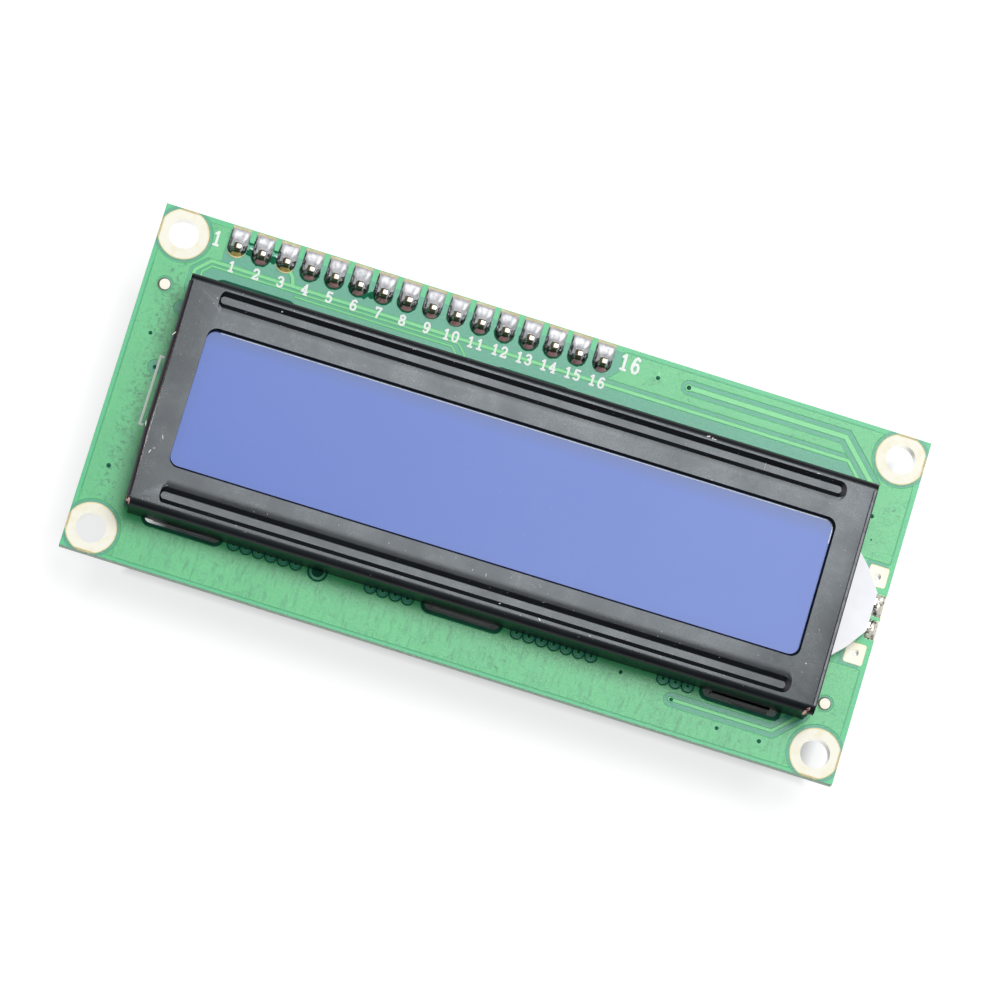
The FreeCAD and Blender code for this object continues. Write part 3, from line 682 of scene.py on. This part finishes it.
chart = flat_map(shapes)
ride(raised_piece("front_mask_bare", chart,
                  {"rim": GREEN_RIM, "bare": GREEN_BARE, "deep": GREEN_PAINTED_SHADE, "flux": FLUX},
                  LAMINATE_HEIGHT, GREEN_STEP))
ride(raised_piece("front_mask_copper", chart,
                  {"copper": GREEN_COPPER, "trace": GREEN_TRACE, "via": GREEN_PAINTED_SHADE},
                  COPPER_HEIGHT, GREEN_STEP, LAMINATE_HEIGHT, 0.08))
ride(raised_piece("front_pads", chart, {"gold": GOLD, "gold_edge": GOLD_EDGE},
                  PAD_HEIGHT, GOLD_EDGE, PAD_FOOT, 0.02))
ride(raised_piece("header_pads", chart,
                  {"pad": TIN_PAD, "tan": TAN, "pad_gilt": GOLD_EDGE, "painted_glint": GLINT, "olive": MASK_EDGE_SHADOW},
                  PAD_HEIGHT, TIN_PAD, PAD_FOOT, 0.01))

# The mask reaches a little over the edge of each mounting hole's pad, and the pad stops
# at a strip of bare copper along the board's edges

LAP_RINGS = [("bare", 2.71, 0.015), ("bronze", 2.58, 0.015), ("gold_edge", 2.56, 0.2),
             ("open", 2.48, 0.24)]
lap_chart = flat_map([(kind, clipped_disc(x, y, radius, inset))
                      for x, y in CORNER_HOLES for kind, radius, inset in LAP_RINGS])
ride(raised_piece("mask_over_pads", lap_chart,
                  {"bare": GREEN_BARE, "gold_edge": GOLD_EDGE, "bronze": TAN}, LAP_HEIGHT, TAN))

# Silk print: plain numbers under the pins, larger ones at both ends, and a bracket.
# The strokes of a digit run in a box of 100 by 100

DIGITS = {
    "0": [[(50, 100), (22, 93), (6, 70), (6, 30), (22, 7), (50, 0), (78, 7), (94, 30), (94, 70),
           (78, 93), (50, 100)]],
    "1": [[(20, 82), (52, 98), (52, 0)], [(22, 0), (82, 0)]],
    "2": [[(10, 76), (26, 95), (55, 100), (83, 90), (90, 68), (74, 45), (30, 20), (8, 0), (92, 0),
           (92, 14)]],
    "3": [[(10, 84), (30, 98), (62, 99), (86, 82), (82, 62), (50, 53), (84, 44), (92, 22), (72, 3),
           (36, 0), (8, 14)]],
    "4": [[(70, 0), (70, 100), (6, 30), (96, 30)], [(48, 0), (92, 0)]],
    "5": [[(86, 98), (20, 98), (14, 54), (50, 62), (82, 52), (92, 30), (76, 6), (42, 0), (10, 10)]],
    "6": [[(86, 88), (58, 100), (26, 86), (8, 50), (10, 20), (32, 0), (68, 0), (90, 16), (90, 40),
           (68, 58), (36, 56), (10, 36)]],
    "7": [[(10, 84), (10, 98), (92, 98), (60, 50), (44, 0)]],
    "8": [[(50, 53), (18, 66), (16, 88), (50, 100), (84, 88), (82, 66), (50, 53), (12, 38), (10, 12),
           (50, 0), (90, 12), (88, 38), (50, 53)]],
    "9": [[(14, 12), (42, 0), (74, 14), (92, 50), (90, 80), (68, 100), (32, 100), (10, 84), (10, 60),
           (32, 42), (64, 44), (90, 64)]],
}


def number_bands(text, middle, foot, height, width, gap, half):
    bands = []
    start = middle - (len(text) * width + (len(text) - 1) * gap) / 2
    for index, sign in enumerate(text):
        left = start + index * (width + gap)
        for stroke in DIGITS[sign]:
            line = [(left + half + x / 100 * (width - 2 * half),
                     foot + half + y / 100 * (height - 2 * half)) for x, y in stroke]
            bands += [("silk", band(list(ends), half)) for ends in zip(line, line[1:])]
    return bands


BRACKET = [(-35.62, 3.0), (-36.02, 3.0), (-36.02, -4.1), (-35.62, -4.1)]
print_shapes = []
for index, x in enumerate(PIN_PLACES, start=1):
    print_shapes += number_bands(str(index), x + 0.05, 13.2, 1.2, 0.8, 0.12, 0.1)
print_shapes += number_bands("1", -34.2, 15.3, 1.62, 0.95, 0.2, 0.12)
print_shapes += number_bands("16", 8.8, 15.62, 1.8, 1.02, 0.16, 0.13)
print_shapes.append(("silk", band(BRACKET, 0.11, False)))
ride(raised_piece("silk_print", flat_map(print_shapes), {"silk": SILK}, SILK_HEIGHT, SILK,
                  COPPER_HEIGHT - 0.03, 0.02))

# Bezel: flat top with its window and two pressed grooves, then the bends and walls

bezel_points, bezel_faces, bezel_which = [], [], []
PAINT, BARE, SHADE, GREY_BEND = range(4)


def add_bezel(points, faces, kind, flip=False):
    bezel_faces.extend(moved_on(flipped(faces) if flip else faces, len(bezel_points)))
    bezel_points.extend(points)
    bezel_which.extend([kind] * len(faces))


GROOVE_WEST = BEZEL_WEST + 3.0
GROOVE_EAST = BEZEL_EAST - 3.05
GROOVE_PROFILE = [(0.84, 0.0), (0.81, -0.02), (0.76, -0.065), (0.44, -0.35), (0.4, -0.385),
                  (0.36, -0.4), (0.32, -0.4)]
GROOVE_HALF, GROOVE_FLOOR_HALF = GROOVE_PROFILE[0][0], GROOVE_PROFILE[-1][0]
ROLL_OFF = [(0.75, 0.0), (0.5, -0.006), (0.25, -0.026), (0.0, -0.066)]
WEST_FLARE = 0.7


# The sheet is drawn down a little on the window's side of each groove

def groove_ring(line, toward, half, drop, extra, sink):
    ring = []
    flare = max(0.0, half - GROOVE_FLOOR_HALF)
    for x, y in oval(GROOVE_WEST + GROOVE_HALF - half, GROOVE_EAST - GROOVE_HALF + half, line, half, 14):
        share = max(0.0, (y - line) * toward / half)
        west = max(0.0, (GROOVE_WEST + GROOVE_HALF - x) / half)
        ring.append((x + west * flare * WEST_FLARE, y + toward * share * extra,
                     BEZEL_TOP + drop + sink * share))
    return ring


TOP = (BEZEL_WEST + WEST_BEND, BEZEL_EAST - EAST_BEND, BEZEL_SOUTH + SIDE_BEND, BEZEL_NORTH - SIDE_BEND)
top_shapes = [("top", box(*TOP)), ("open", round_box(*WINDOW, WINDOW_CORNER, 10))]
for line, toward in ((SOUTH_GROOVE, 1), (NORTH_GROOVE, -1)):
    rings = [groove_ring(line, toward, GROOVE_HALF + 0.01 * (len(ROLL_OFF) - i), 0.0, extra, sink)
             for i, (extra, sink) in enumerate(ROLL_OFF)]
    top_shapes.append(("open", [(x, y) for x, y, z in rings[0]]))
    rings += [groove_ring(line, toward, half, drop, 0.0, ROLL_OFF[-1][1] * (1 + drop / SHEET))
              for half, drop in GROOVE_PROFILE]
    count = len(rings[0])
    faces = flipped(strip_faces(len(rings), count))
    faces.append([(len(rings) - 1) * count + i for i in range(count)])
    add_bezel([point for ring in rings for point in ring], faces, PAINT)
corners, triangles = flat_map(top_shapes)
add_bezel([(spot.x, spot.y, BEZEL_TOP) for spot in corners],
          [triangle for triangle, kind in triangles if kind == "top"], PAINT)

# The window's edge leans inward a little, as a punched edge does. Its dark, dull coat is painted shade:
# the shadow gap and dark reflection round the display

lip = []
for share, height in ((0.0, BEZEL_TOP), (1.0, BEZEL_TOP - SHEET)):
    sides = [side + lean * share * inward for side, lean, inward in zip(WINDOW, LIP_LEAN, (1, -1, 1, -1))]
    lip += [(x, y, height) for x, y in round_box(*sides, WINDOW_CORNER, 10)]
add_bezel(lip, strip_faces(2, len(lip) // 2), SHADE, True)

# Bends and walls of the long sides, which stop short of the corners

BEND_STEPS = [math.radians(90 * step / 12) for step in range(13)]
SEAM = 0.5
WALL_FOOT = BOARD_FRONT + 0.01
GAP_TOP = BOARD_FRONT + 2.6


def bend_point(side, face, bend, turn):
    return side - face * bend * (1 - math.sin(turn)), BEZEL_TOP - bend * (1 - math.cos(turn))


for side, face in ((BEZEL_SOUTH, -1), (BEZEL_NORTH, 1)):
    points = []
    for turn in BEND_STEPS:
        y, z = bend_point(side, face, SIDE_BEND, turn)
        points += [(x, y, z) for x in TOP[:2]]
    faces = strip_faces(len(BEND_STEPS), 2, False)
    start = len(points)
    faces.append([start, start + 2, start + 3, start + 1])
    points += [(x, side, z) for z in (BEZEL_TOP - SIDE_BEND, WALL_FOOT)
               for x in (BEZEL_WEST + SEAM, BEZEL_EAST - SEAM)]
    add_bezel(points, faces, PAINT, face > 0)

# The two ends, each with its gap for the backlight. The coat of the east bend is grey

for side, face, gap, bend in ((BEZEL_WEST, -1, (-4.5, 4.5), WEST_BEND),
                              (BEZEL_EAST, 1, (-6.25, 5.15), EAST_BEND)):
    lines = [TOP[2], *gap, TOP[3]]
    levels = [bend_point(side, face, bend, turn) for turn in BEND_STEPS[::2]]
    levels += [(side, GAP_TOP), (side, WALL_FOOT)]
    faces = strip_faces(len(levels), len(lines), False, {(len(levels) - 2, 1)})
    add_bezel([(x, y, z) for x, z in levels for y in lines], faces, PAINT, face < 0)
    if face > 0:
        for index in range(len(lines) - 1, 3 * (len(lines) - 1)):
            bezel_which[index - len(faces)] = GREY_BEND
    # Corner of the flat sheet over each seam
    for y_side, y_face in ((BEZEL_SOUTH, -1), (BEZEL_NORTH, 1)):
        corner = []
        for turn in BEND_STEPS:
            y, z = bend_point(y_side, y_face, SIDE_BEND, turn)
            corner += [(side - face * bend, y, z), (side - face * 0.07, y, z - 0.05)]
        add_bezel(corner, strip_faces(len(BEND_STEPS), 2, False), PAINT, face * y_face > 0)

# The left end is pressed in a little towards its lower corner

bezel_points = [
    (x + 0.36 * max(0.0, -5.0 - y) / 8.0 * min(1.0, max(0.0, (-33.6 - x) / 1.6)), y, z)
    for x, y, z in bezel_points]

# The whole bezel sits slightly turned on the board, about a point below the board's middle

TURN_Y = -0.72


def swung(x, y, angle):
    return x * math.cos(angle) - y * math.sin(angle), x * math.sin(angle) + y * math.cos(angle)


def turned(points):
    places = [(*swung(x, y - TURN_Y, BEZEL_TURN), z) for x, y, z in points]
    return [(x, y + TURN_Y, z) for x, y, z in places]


bezel = make_piece("bezel_skin", turned(bezel_points), bezel_faces,
                   [BEZEL_PAINT, BARE_METAL, WINDOW_EDGE, GREY_BEND_PAINT], bezel_which, True)
weld = bezel.modifiers.new("weld", "WELD")
weld.merge_threshold = 0.002 * MM
thicken(bezel, "sheet_thickness", 0.36).material_offset_rim = BARE
sharpen(bezel, "corners_stay_sharp", 32)
flats = bezel.modifiers.new("flats_stay_flat", "WEIGHTED_NORMAL")
flats.keep_sharp = True
ride(bezel)

# A pale line shows along the upper edge of the polarizer and round its right corner

PALE_LINE_HEIGHT = 6.012
line_top = WINDOW[3] - LIP_LEAN[3] - 0.04
line_east = WINDOW[1] - LIP_LEAN[1] - 0.04
pale_line = ([(WINDOW[0] + 1.3, line_top)] + arc(line_east - 0.8, line_top - 0.8, 0.8, 90, 0, 8)
             + [(line_east, line_top - 2.2)])
corners, triangles = flat_map([("glue", band(pale_line, 0.065))])
glue = make_piece("polarizer_edge_line", turned([(spot.x, spot.y, PALE_LINE_HEIGHT) for spot in corners]),
                  [triangle for triangle, kind in triangles], [PALE_LINE_PAINT])
ride(glue)

# Tabs of the bezel go through the slots and are twisted behind the board

TAB_SECTION = box(-3.0, 3.0, -0.19, 0.19)
TAB_TWIST = [(BOARD_FRONT + 0.3, 0.0), (0.0, 0.0), (-0.6, -6.0), (-1.2, -13.0), (-1.75, -18.0)]
tab_points, tab_faces = [], []
for middle in TAB_MIDDLES:
    for line in (BEZEL_SOUTH + SHEET / 2, BEZEL_NORTH - SHEET / 2):
        faces = flipped(strip_faces(len(TAB_TWIST), 4))
        faces.append([4 * (len(TAB_TWIST) - 1) + i for i in range(4)])
        tab_faces += moved_on(faces, len(tab_points))
        for height, turn in TAB_TWIST:
            for corner in TAB_SECTION:
                x, y = swung(*corner, math.radians(turn))
                tab_points.append((middle + x, line + y, height))
ride(make_piece("bezel_tabs", tab_points, tab_faces, [BEZEL_PAINT]))
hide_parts("bezel")

# Solder: from each pad's outline up to the pin, with flat faces towards the board's edge

JOINT_LEVELS = [
    (0.0, 0.02, 0.02), (0.04, 0.12, 0.1), (0.1, 0.2, 0.15), (0.2, 0.3, 0.21), (0.35, 0.41, 0.27),
    (0.5, 0.51, 0.34), (0.65, 0.62, 0.42), (0.8, 0.76, 0.54), (0.9, 0.9, 0.74), (1.0, 1.1, 1.06)]
BRIGHT, SOUTH_SLOPE, DARK, SHADED = range(4)
COLLAR_HALF = 0.33
FOOT_HALF = 0.95
FOOT_SHOULDER = 1.3
FOOT_NORTH = 2.0


# Columns run counter-clockwise from the west. The south slope is pinkish, a painted reflection (gold on
# the gilt joints), and dark higher up by the pin, painted shade; the sides low down take painted shade
# too

def joint_finish(row, column):
    if 4 <= column <= 8:
        return SOUTH_SLOPE if row <= 5 else DARK
    if column <= 3 and row <= 7 or 9 <= column <= 12 and row <= 5:
        return SHADED
    if column >= 20 and row <= 4 or column == 19 and row <= 2:
        return SHADED
    return BRIGHT


def square_reach(half, angle):
    return half / max(abs(math.cos(angle)), abs(math.sin(angle)))


def mirrored(east):
    return east + [(0.0, east[-1][1])] + [(-x, y) for x, y in east[::-1]]


def solder_cone(name, x, slack, south_finish, south_reach):
    pin = COLLAR_HALF
    foot, collar = [], []
    for degrees in range(180, 361, 15):
        angle = math.radians(degrees)
        foot.append((PAD_HALF * math.cos(angle), 0.04 + south_reach * math.sin(angle)))
        reach = square_reach(pin, angle)
        collar.append((reach * math.cos(angle), reach * math.sin(angle)))
    foot += mirrored([(PAD_HALF, 0.6), (PAD_HALF, FOOT_SHOULDER), (FOOT_HALF, FOOT_NORTH),
                      (0.45, FOOT_NORTH)])
    collar += mirrored([(pin, pin * 0.4), (pin, pin * 0.8), (pin, pin), (pin * 0.5, pin)])
    lift = 0.9 + slack
    lean = random.uniform(-0.08, 0.08)
    points = []
    for share, steep, gentle in JOINT_LEVELS:
        for (fx, fy), (cx, cy) in zip(foot, collar):
            north = max(0.0, min(1.0, fy / FOOT_SHOULDER))
            middle = 1.0 - min(1.0, abs(fx) / FOOT_HALF)
            bulge = north * (0.05 - 0.1 * middle) * math.sin(math.pi * share)
            rise = steep * (1 - north) + gentle * north + bulge
            points.append((x + fx * (1 - share) + cx * share + lean * share * (1 - share),
                           PIN_Y + fy * (1 - share) + cy * share,
                           COPPER_HEIGHT - 0.004 + lift * rise
                           + random.uniform(-0.004, 0.004) * (0 < share < 1)))
    faces = flipped(strip_faces(len(JOINT_LEVELS), len(foot)))
    which = [joint_finish(*divmod(index, len(foot))) for index in range(len(faces))]
    finishes = [SOLDER, south_finish, PIN_SHADE, SOLDER_SHADE]
    joint = make_piece(name, points, faces, finishes, which, True)
    sharpen(joint, "facets", 65)
    return joint


random.seed(11)
for index, x in enumerate(PIN_PLACES):
    gilt = index in GILT_JOINTS
    joint = solder_cone("solder_%02d" % (index + 1), x, random.uniform(-0.1, 0.1),
                        GILT if gilt else SOLDER_SOUTH_REFLECTION, 0.84 if gilt else PAD_HALF)
    ride(joint)
    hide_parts("solder_joint_%02d" % (index + 1))

# Each pin ends in a small dome, its sides dark with painted shade and a bright face where it was cut, a
# little to the right. The face's paleness is partly its cut metal and partly a painted highlight

CAP_RINGS = [(0.37, -0.34, 0.0), (0.37, -0.1, 0.0), (0.345, 0.012, 0.01), (0.235, 0.07, 0.13),
             (0.12, 0.085, 0.14)]
CAP_SIDES = 16
CAP_FACES = flipped(strip_faces(len(CAP_RINGS), CAP_SIDES))
CAP_FACES.append([CAP_SIDES * (len(CAP_RINGS) - 1) + step for step in range(CAP_SIDES)])
cap_points, cap_faces, cap_which = [], [], []
for x in PIN_PLACES:
    cap_faces += moved_on(CAP_FACES, len(cap_points))
    cap_which += [1] * (3 * CAP_SIDES) + [0] * (CAP_SIDES + 1)
    for half, height, shift in CAP_RINGS:
        for step in range(CAP_SIDES):
            angle = 2 * math.pi * step / CAP_SIDES
            reach = half * square_reach(1.0, angle) ** 0.75
            cap_points.append((x + shift + reach * math.cos(angle), PIN_Y + reach * math.sin(angle),
                               PIN_TOP + height))
caps = make_piece("pin_tips", cap_points, cap_faces, [PIN_CUT, PIN_SHADE], cap_which, True)
sharpen(caps, "cut_edge", 28)
ride(caps)

# Solder on the two pads at the board's right edge, uneven and shiny

LUMP_WEST = 38.92
LUMP_WIDTH = 0.98
LUMP_HEIGHT = 0.6


def solder_lump(name, south, north):
    columns, rows = 7, 11
    points = []
    for row in range(rows):
        for column in range(columns):
            across = column / (columns - 1)
            along = row / (rows - 1)
            dome = math.sin(math.pi * along) ** 0.5 * math.sin(math.pi * (0.12 + 0.8 * across))
            points.append((LUMP_WEST + LUMP_WIDTH * across,
                           south + (north - south) * along + random.uniform(-0.04, 0.04),
                           BOARD_FRONT + 0.02 + LUMP_HEIGHT * dome * random.uniform(0.55, 1.15)))
    faces = []
    for row in range(rows - 1):
        for column in range(columns - 1):
            start = row * columns + column
            faces.append([start, start + 1, start + columns + 1, start + columns])
    lump = make_piece(name, points, faces, [EDGE_SOLDER], smooth=True)
    thicken(lump, "body", 0.05)
    return lump


for index, (south, north) in enumerate(LEAD_PADS, start=1):
    lump = solder_lump("lead_solder_%d" % index, south, north)
    ride(lump)
    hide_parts("backlight_solder_%d" % index)

# Plated barrels of the two backlight holes

for index, (x, y) in enumerate(WIRE_HOLES, start=1):
    points = [(px, py, z) for z in (COPPER_HEIGHT, -0.02) for px, py in disc(x, y, 0.36, 24)]
    ride(make_piece("wire_hole_barrel_%d" % index, points, strip_faces(2, 24), [PLATED], smooth=True))

# Dust, scratches and bare nicks on the bezel, as small raised flecks: place, half width,
# half length and turn in degrees

NICKS = [(34.97, -12.5, 0.16, 0.52, 58), (-34.74, -12.62, 0.13, 0.34, 97),
         (-34.9, -12.58, 0.09, 0.16, 160)]
flecks = [(18.0, 10.85, 0.08, 0.2, 20), (18.45, 10.8, 0.06, 0.12, 80), (18.7, 10.75, 0.05, 0.2, 10),
          (-25.9, 9.95, 0.06, 0.09, 40), (33.6, -8.0, 0.07, 0.09, 0), (-32.4, 9.3, 0.05, 0.07, 0),
          (-34.2, -7.3, 0.06, 0.22, 70), (-33.4, -5.6, 0.05, 0.28, 110), (-33.9, -6.9, 0.04, 0.14, 20),
          (7.2, -11.75, 0.06, 0.2, -40), (3.0, -11.4, 0.05, 0.12, 20), (12.4, -11.8, 0.05, 0.1, 0),
          (-0.5, -9.0, 0.03, 0.12, 80), (0.9, -9.1, 0.03, 0.2, 85), (-35.4, 4.65, 0.06, 0.3, 60),
          (-35.4, -4.75, 0.06, 0.35, 100), (24.2, 9.7, 0.016, 0.5, 88), (29.5, 10.6, 0.04, 0.2, 10)]
for _ in range(24):
    flecks.append((random.uniform(-34, 34), random.choice((-11.8, -10.1, -8.9, 8.7, 10.5))
                   + random.uniform(-0.35, 0.35), 0.02, random.uniform(0.03, 0.09),
                   random.uniform(0, 180)))
FLECK_SIDES = 7


def bezel_height(x, y):
    y -= x * math.sin(BEZEL_TURN)
    for side, face in ((BEZEL_SOUTH, -1), (BEZEL_NORTH, 1)):
        depth = (y - (side - face * SIDE_BEND)) * face
        if depth > 0:
            return BEZEL_TOP - SIDE_BEND + math.sqrt(max(0.0, SIDE_BEND ** 2 - depth ** 2))
    return BEZEL_TOP


fleck_points, fleck_faces, fleck_which = [], [], []
for kind, places, lift in ((0, flecks, 0.012), (1, NICKS, 0.045)):
    for x, y, half_width, half_length, turn in places:
        start = len(fleck_points)
        fleck_points.append((x, y, bezel_height(x, y) + lift))
        for step in range(FLECK_SIDES):
            swing = 2 * math.pi * step / FLECK_SIDES
            rough = random.uniform(0.75, 1.15)
            along = half_length * math.cos(swing) * rough
            across = half_width * math.sin(swing) * rough
            east, north = swung(along, across, math.radians(turn))
            height = bezel_height(x + east, y + north)
            fleck_points.append((x + east, y + north, height + lift))
            fleck_faces.append((start, start + 1 + step, start + 1 + (step + 1) % FLECK_SIDES))
            fleck_which.append(kind)
ride(make_piece("bezel_dust", fleck_points, fleck_faces, [DUST, BARE_METAL], fleck_which))

# Tinned ends of the small parts on the rear

END_LENGTH = 0.45
END_COAT = 0.01
for name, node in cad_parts.items():
    if not name.startswith("chip_part"):
        continue
    spots = [node.matrix_world @ Vector(corner) / MM for corner in node.bound_box]
    west, south, low = (min(spot[axis] for spot in spots) - END_COAT for axis in range(3))
    east, north = (max(spot[axis] for spot in spots) + END_COAT for axis in range(2))
    end_points, end_faces = [], []
    for inner, outer in ((west, west + END_LENGTH), (east - END_LENGTH, east)):
        end_faces += moved_on(flipped(strip_faces(2, 4)) + [[3, 2, 1, 0]], len(end_points))
        for height in (low, 0.0):
            end_points += [(x, y, height) for x, y in box(inner, outer, south, north)]
    ends = make_piece("ends_of_" + name, end_points, end_faces, [SOLDER])
    soften(ends, 0.05)
    ride(ends)

# Materials on the CAD nodes, by the start of their names

NODE_FINISH = {
    "circuit_board": LAMINATE,
    "hole_plating": PLATED,
    "bezel": BEZEL_PAINT,
    "front_polarizer": DISPLAY,
    "front_glass": GLASS,
    "rear_glass": GLASS,
    "rear_polarizer": FILM,
    "zebra_strip": ZEBRA,
    "light_guide": WHITE,
    "led_housing": WHITE,
    "backlight_lead": TIN,
    "backlight_solder": SOLDER,
    "backlight": WHITE,
    "header_insulator": HEADER_BLACK,
    "header_pin": TIN,
    "solder_joint": SOLDER,
    "epoxy_dome": EPOXY,
    "chip_part": CHIP,
}
SOFT_EDGES = {"header_pin": (0.1, 2), "chip_part": (0.06, 2), "led_housing": (0.12, 3)}
for name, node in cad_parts.items():
    kind = next(start for start in NODE_FINISH if name.startswith(start))
    node.data.materials.clear()
    node.data.materials.append(NODE_FINISH[kind])
    if kind in SOFT_EDGES:
        soften(node, *SOFT_EDGES[kind])

# Floor: matte, with a glow that only the camera and reflections see. The glow fades out under the
# board, which paints a shadow there; the real shadow stays

FLOOR_HEIGHT = -8.52
FLOOR_HALF = 900


def floor_white():
    made = bpy.data.materials.new("floor_white")
    made.use_nodes = True
    made.node_tree.nodes.clear()
    nodes = Nodes(made.node_tree)
    rays = nodes.add("LightPath").outputs
    seen = nodes.larger(rays["Is Camera Ray"], rays["Is Glossy Ray"])
    seen = nodes.larger(seen, rays["Is Transmission Ray"])
    x, y, z = nodes.parts(nodes.add("TexCoord").outputs["Object"])
    away_x = nodes.larger(nodes.minus(x, 35.5 * MM), nodes.minus(-30.5 * MM, x))
    away_y = nodes.minus(nodes.unsigned(y), 14.5 * MM)
    away = nodes.remap(nodes.larger(away_x, away_y), 0.0, 3.0 * MM, 0.0, 0.74)
    glow = nodes.add("Emission", {"Strength": nodes.times(seen, away)})
    matte = nodes.add("BsdfDiffuse", {"Color": (0.4, 0.4, 0.4)})
    both = nodes.add("AddShader", {0: matte.outputs[0], 1: glow.outputs[0]})
    nodes.add("OutputMaterial", {"Surface": both.outputs[0]})
    return made


floor_points = [(x, y, FLOOR_HEIGHT)
                for x, y in box(-FLOOR_HALF, FLOOR_HALF, -FLOOR_HALF, FLOOR_HALF)]
floor = make_piece("floor", floor_points, [[0, 1, 2, 3]], [floor_white()])

# One large lamp, and a world that is lighter overhead

LAMP_PLACE = (150, 285, 975)
LAMP_SIZE = (520, 460)
lamp = bpy.data.lights.new("softbox", "AREA")
lamp.shape = "RECTANGLE"
lamp.size = LAMP_SIZE[0] * MM
lamp.size_y = LAMP_SIZE[1] * MM
lamp.energy = 7.4
holder = bpy.data.objects.new("softbox", lamp)
holder.location = Vector(LAMP_PLACE) * MM
holder.rotation_euler = (-holder.location).to_track_quat("-Z", "Y").to_euler()
bpy.context.scene.collection.objects.link(holder)

world = bpy.data.worlds.new("studio")
bpy.context.scene.world = world
world.use_nodes = True
nodes = Nodes(world.node_tree)
direction = nodes.add("TexCoord").outputs["Generated"]
lean = nodes.add("VectorMath", {0: direction, 1: (0.12, 0.3, 0.946)}, operation="DOT_PRODUCT")
rise = nodes.remap(lean.outputs["Value"], 0.75, 0.98)
background = world.node_tree.nodes["Background"]
nodes.feed(background, "Color", nodes.blend(rise, (0.33, 0.335, 0.345), (0.5, 0.51, 0.53)))
nodes.feed(background, "Strength", 1.0)

# Camera, as fitted to the photograph

camera_data = bpy.data.cameras.new("camera")
camera_data.sensor_width = 36.0
camera_data.lens = 230.2
camera_data.clip_start = 0.05
camera = bpy.data.objects.new("camera", camera_data)
camera.location = (-0.02903, -0.1166, 0.62461)
camera.rotation_euler = (math.radians(9.3155), math.radians(-5.6294), math.radians(16.6889))
bpy.context.scene.collection.objects.link(camera)
bpy.context.scene.camera = camera
bpy.context.scene.view_settings.view_transform = "Standard"
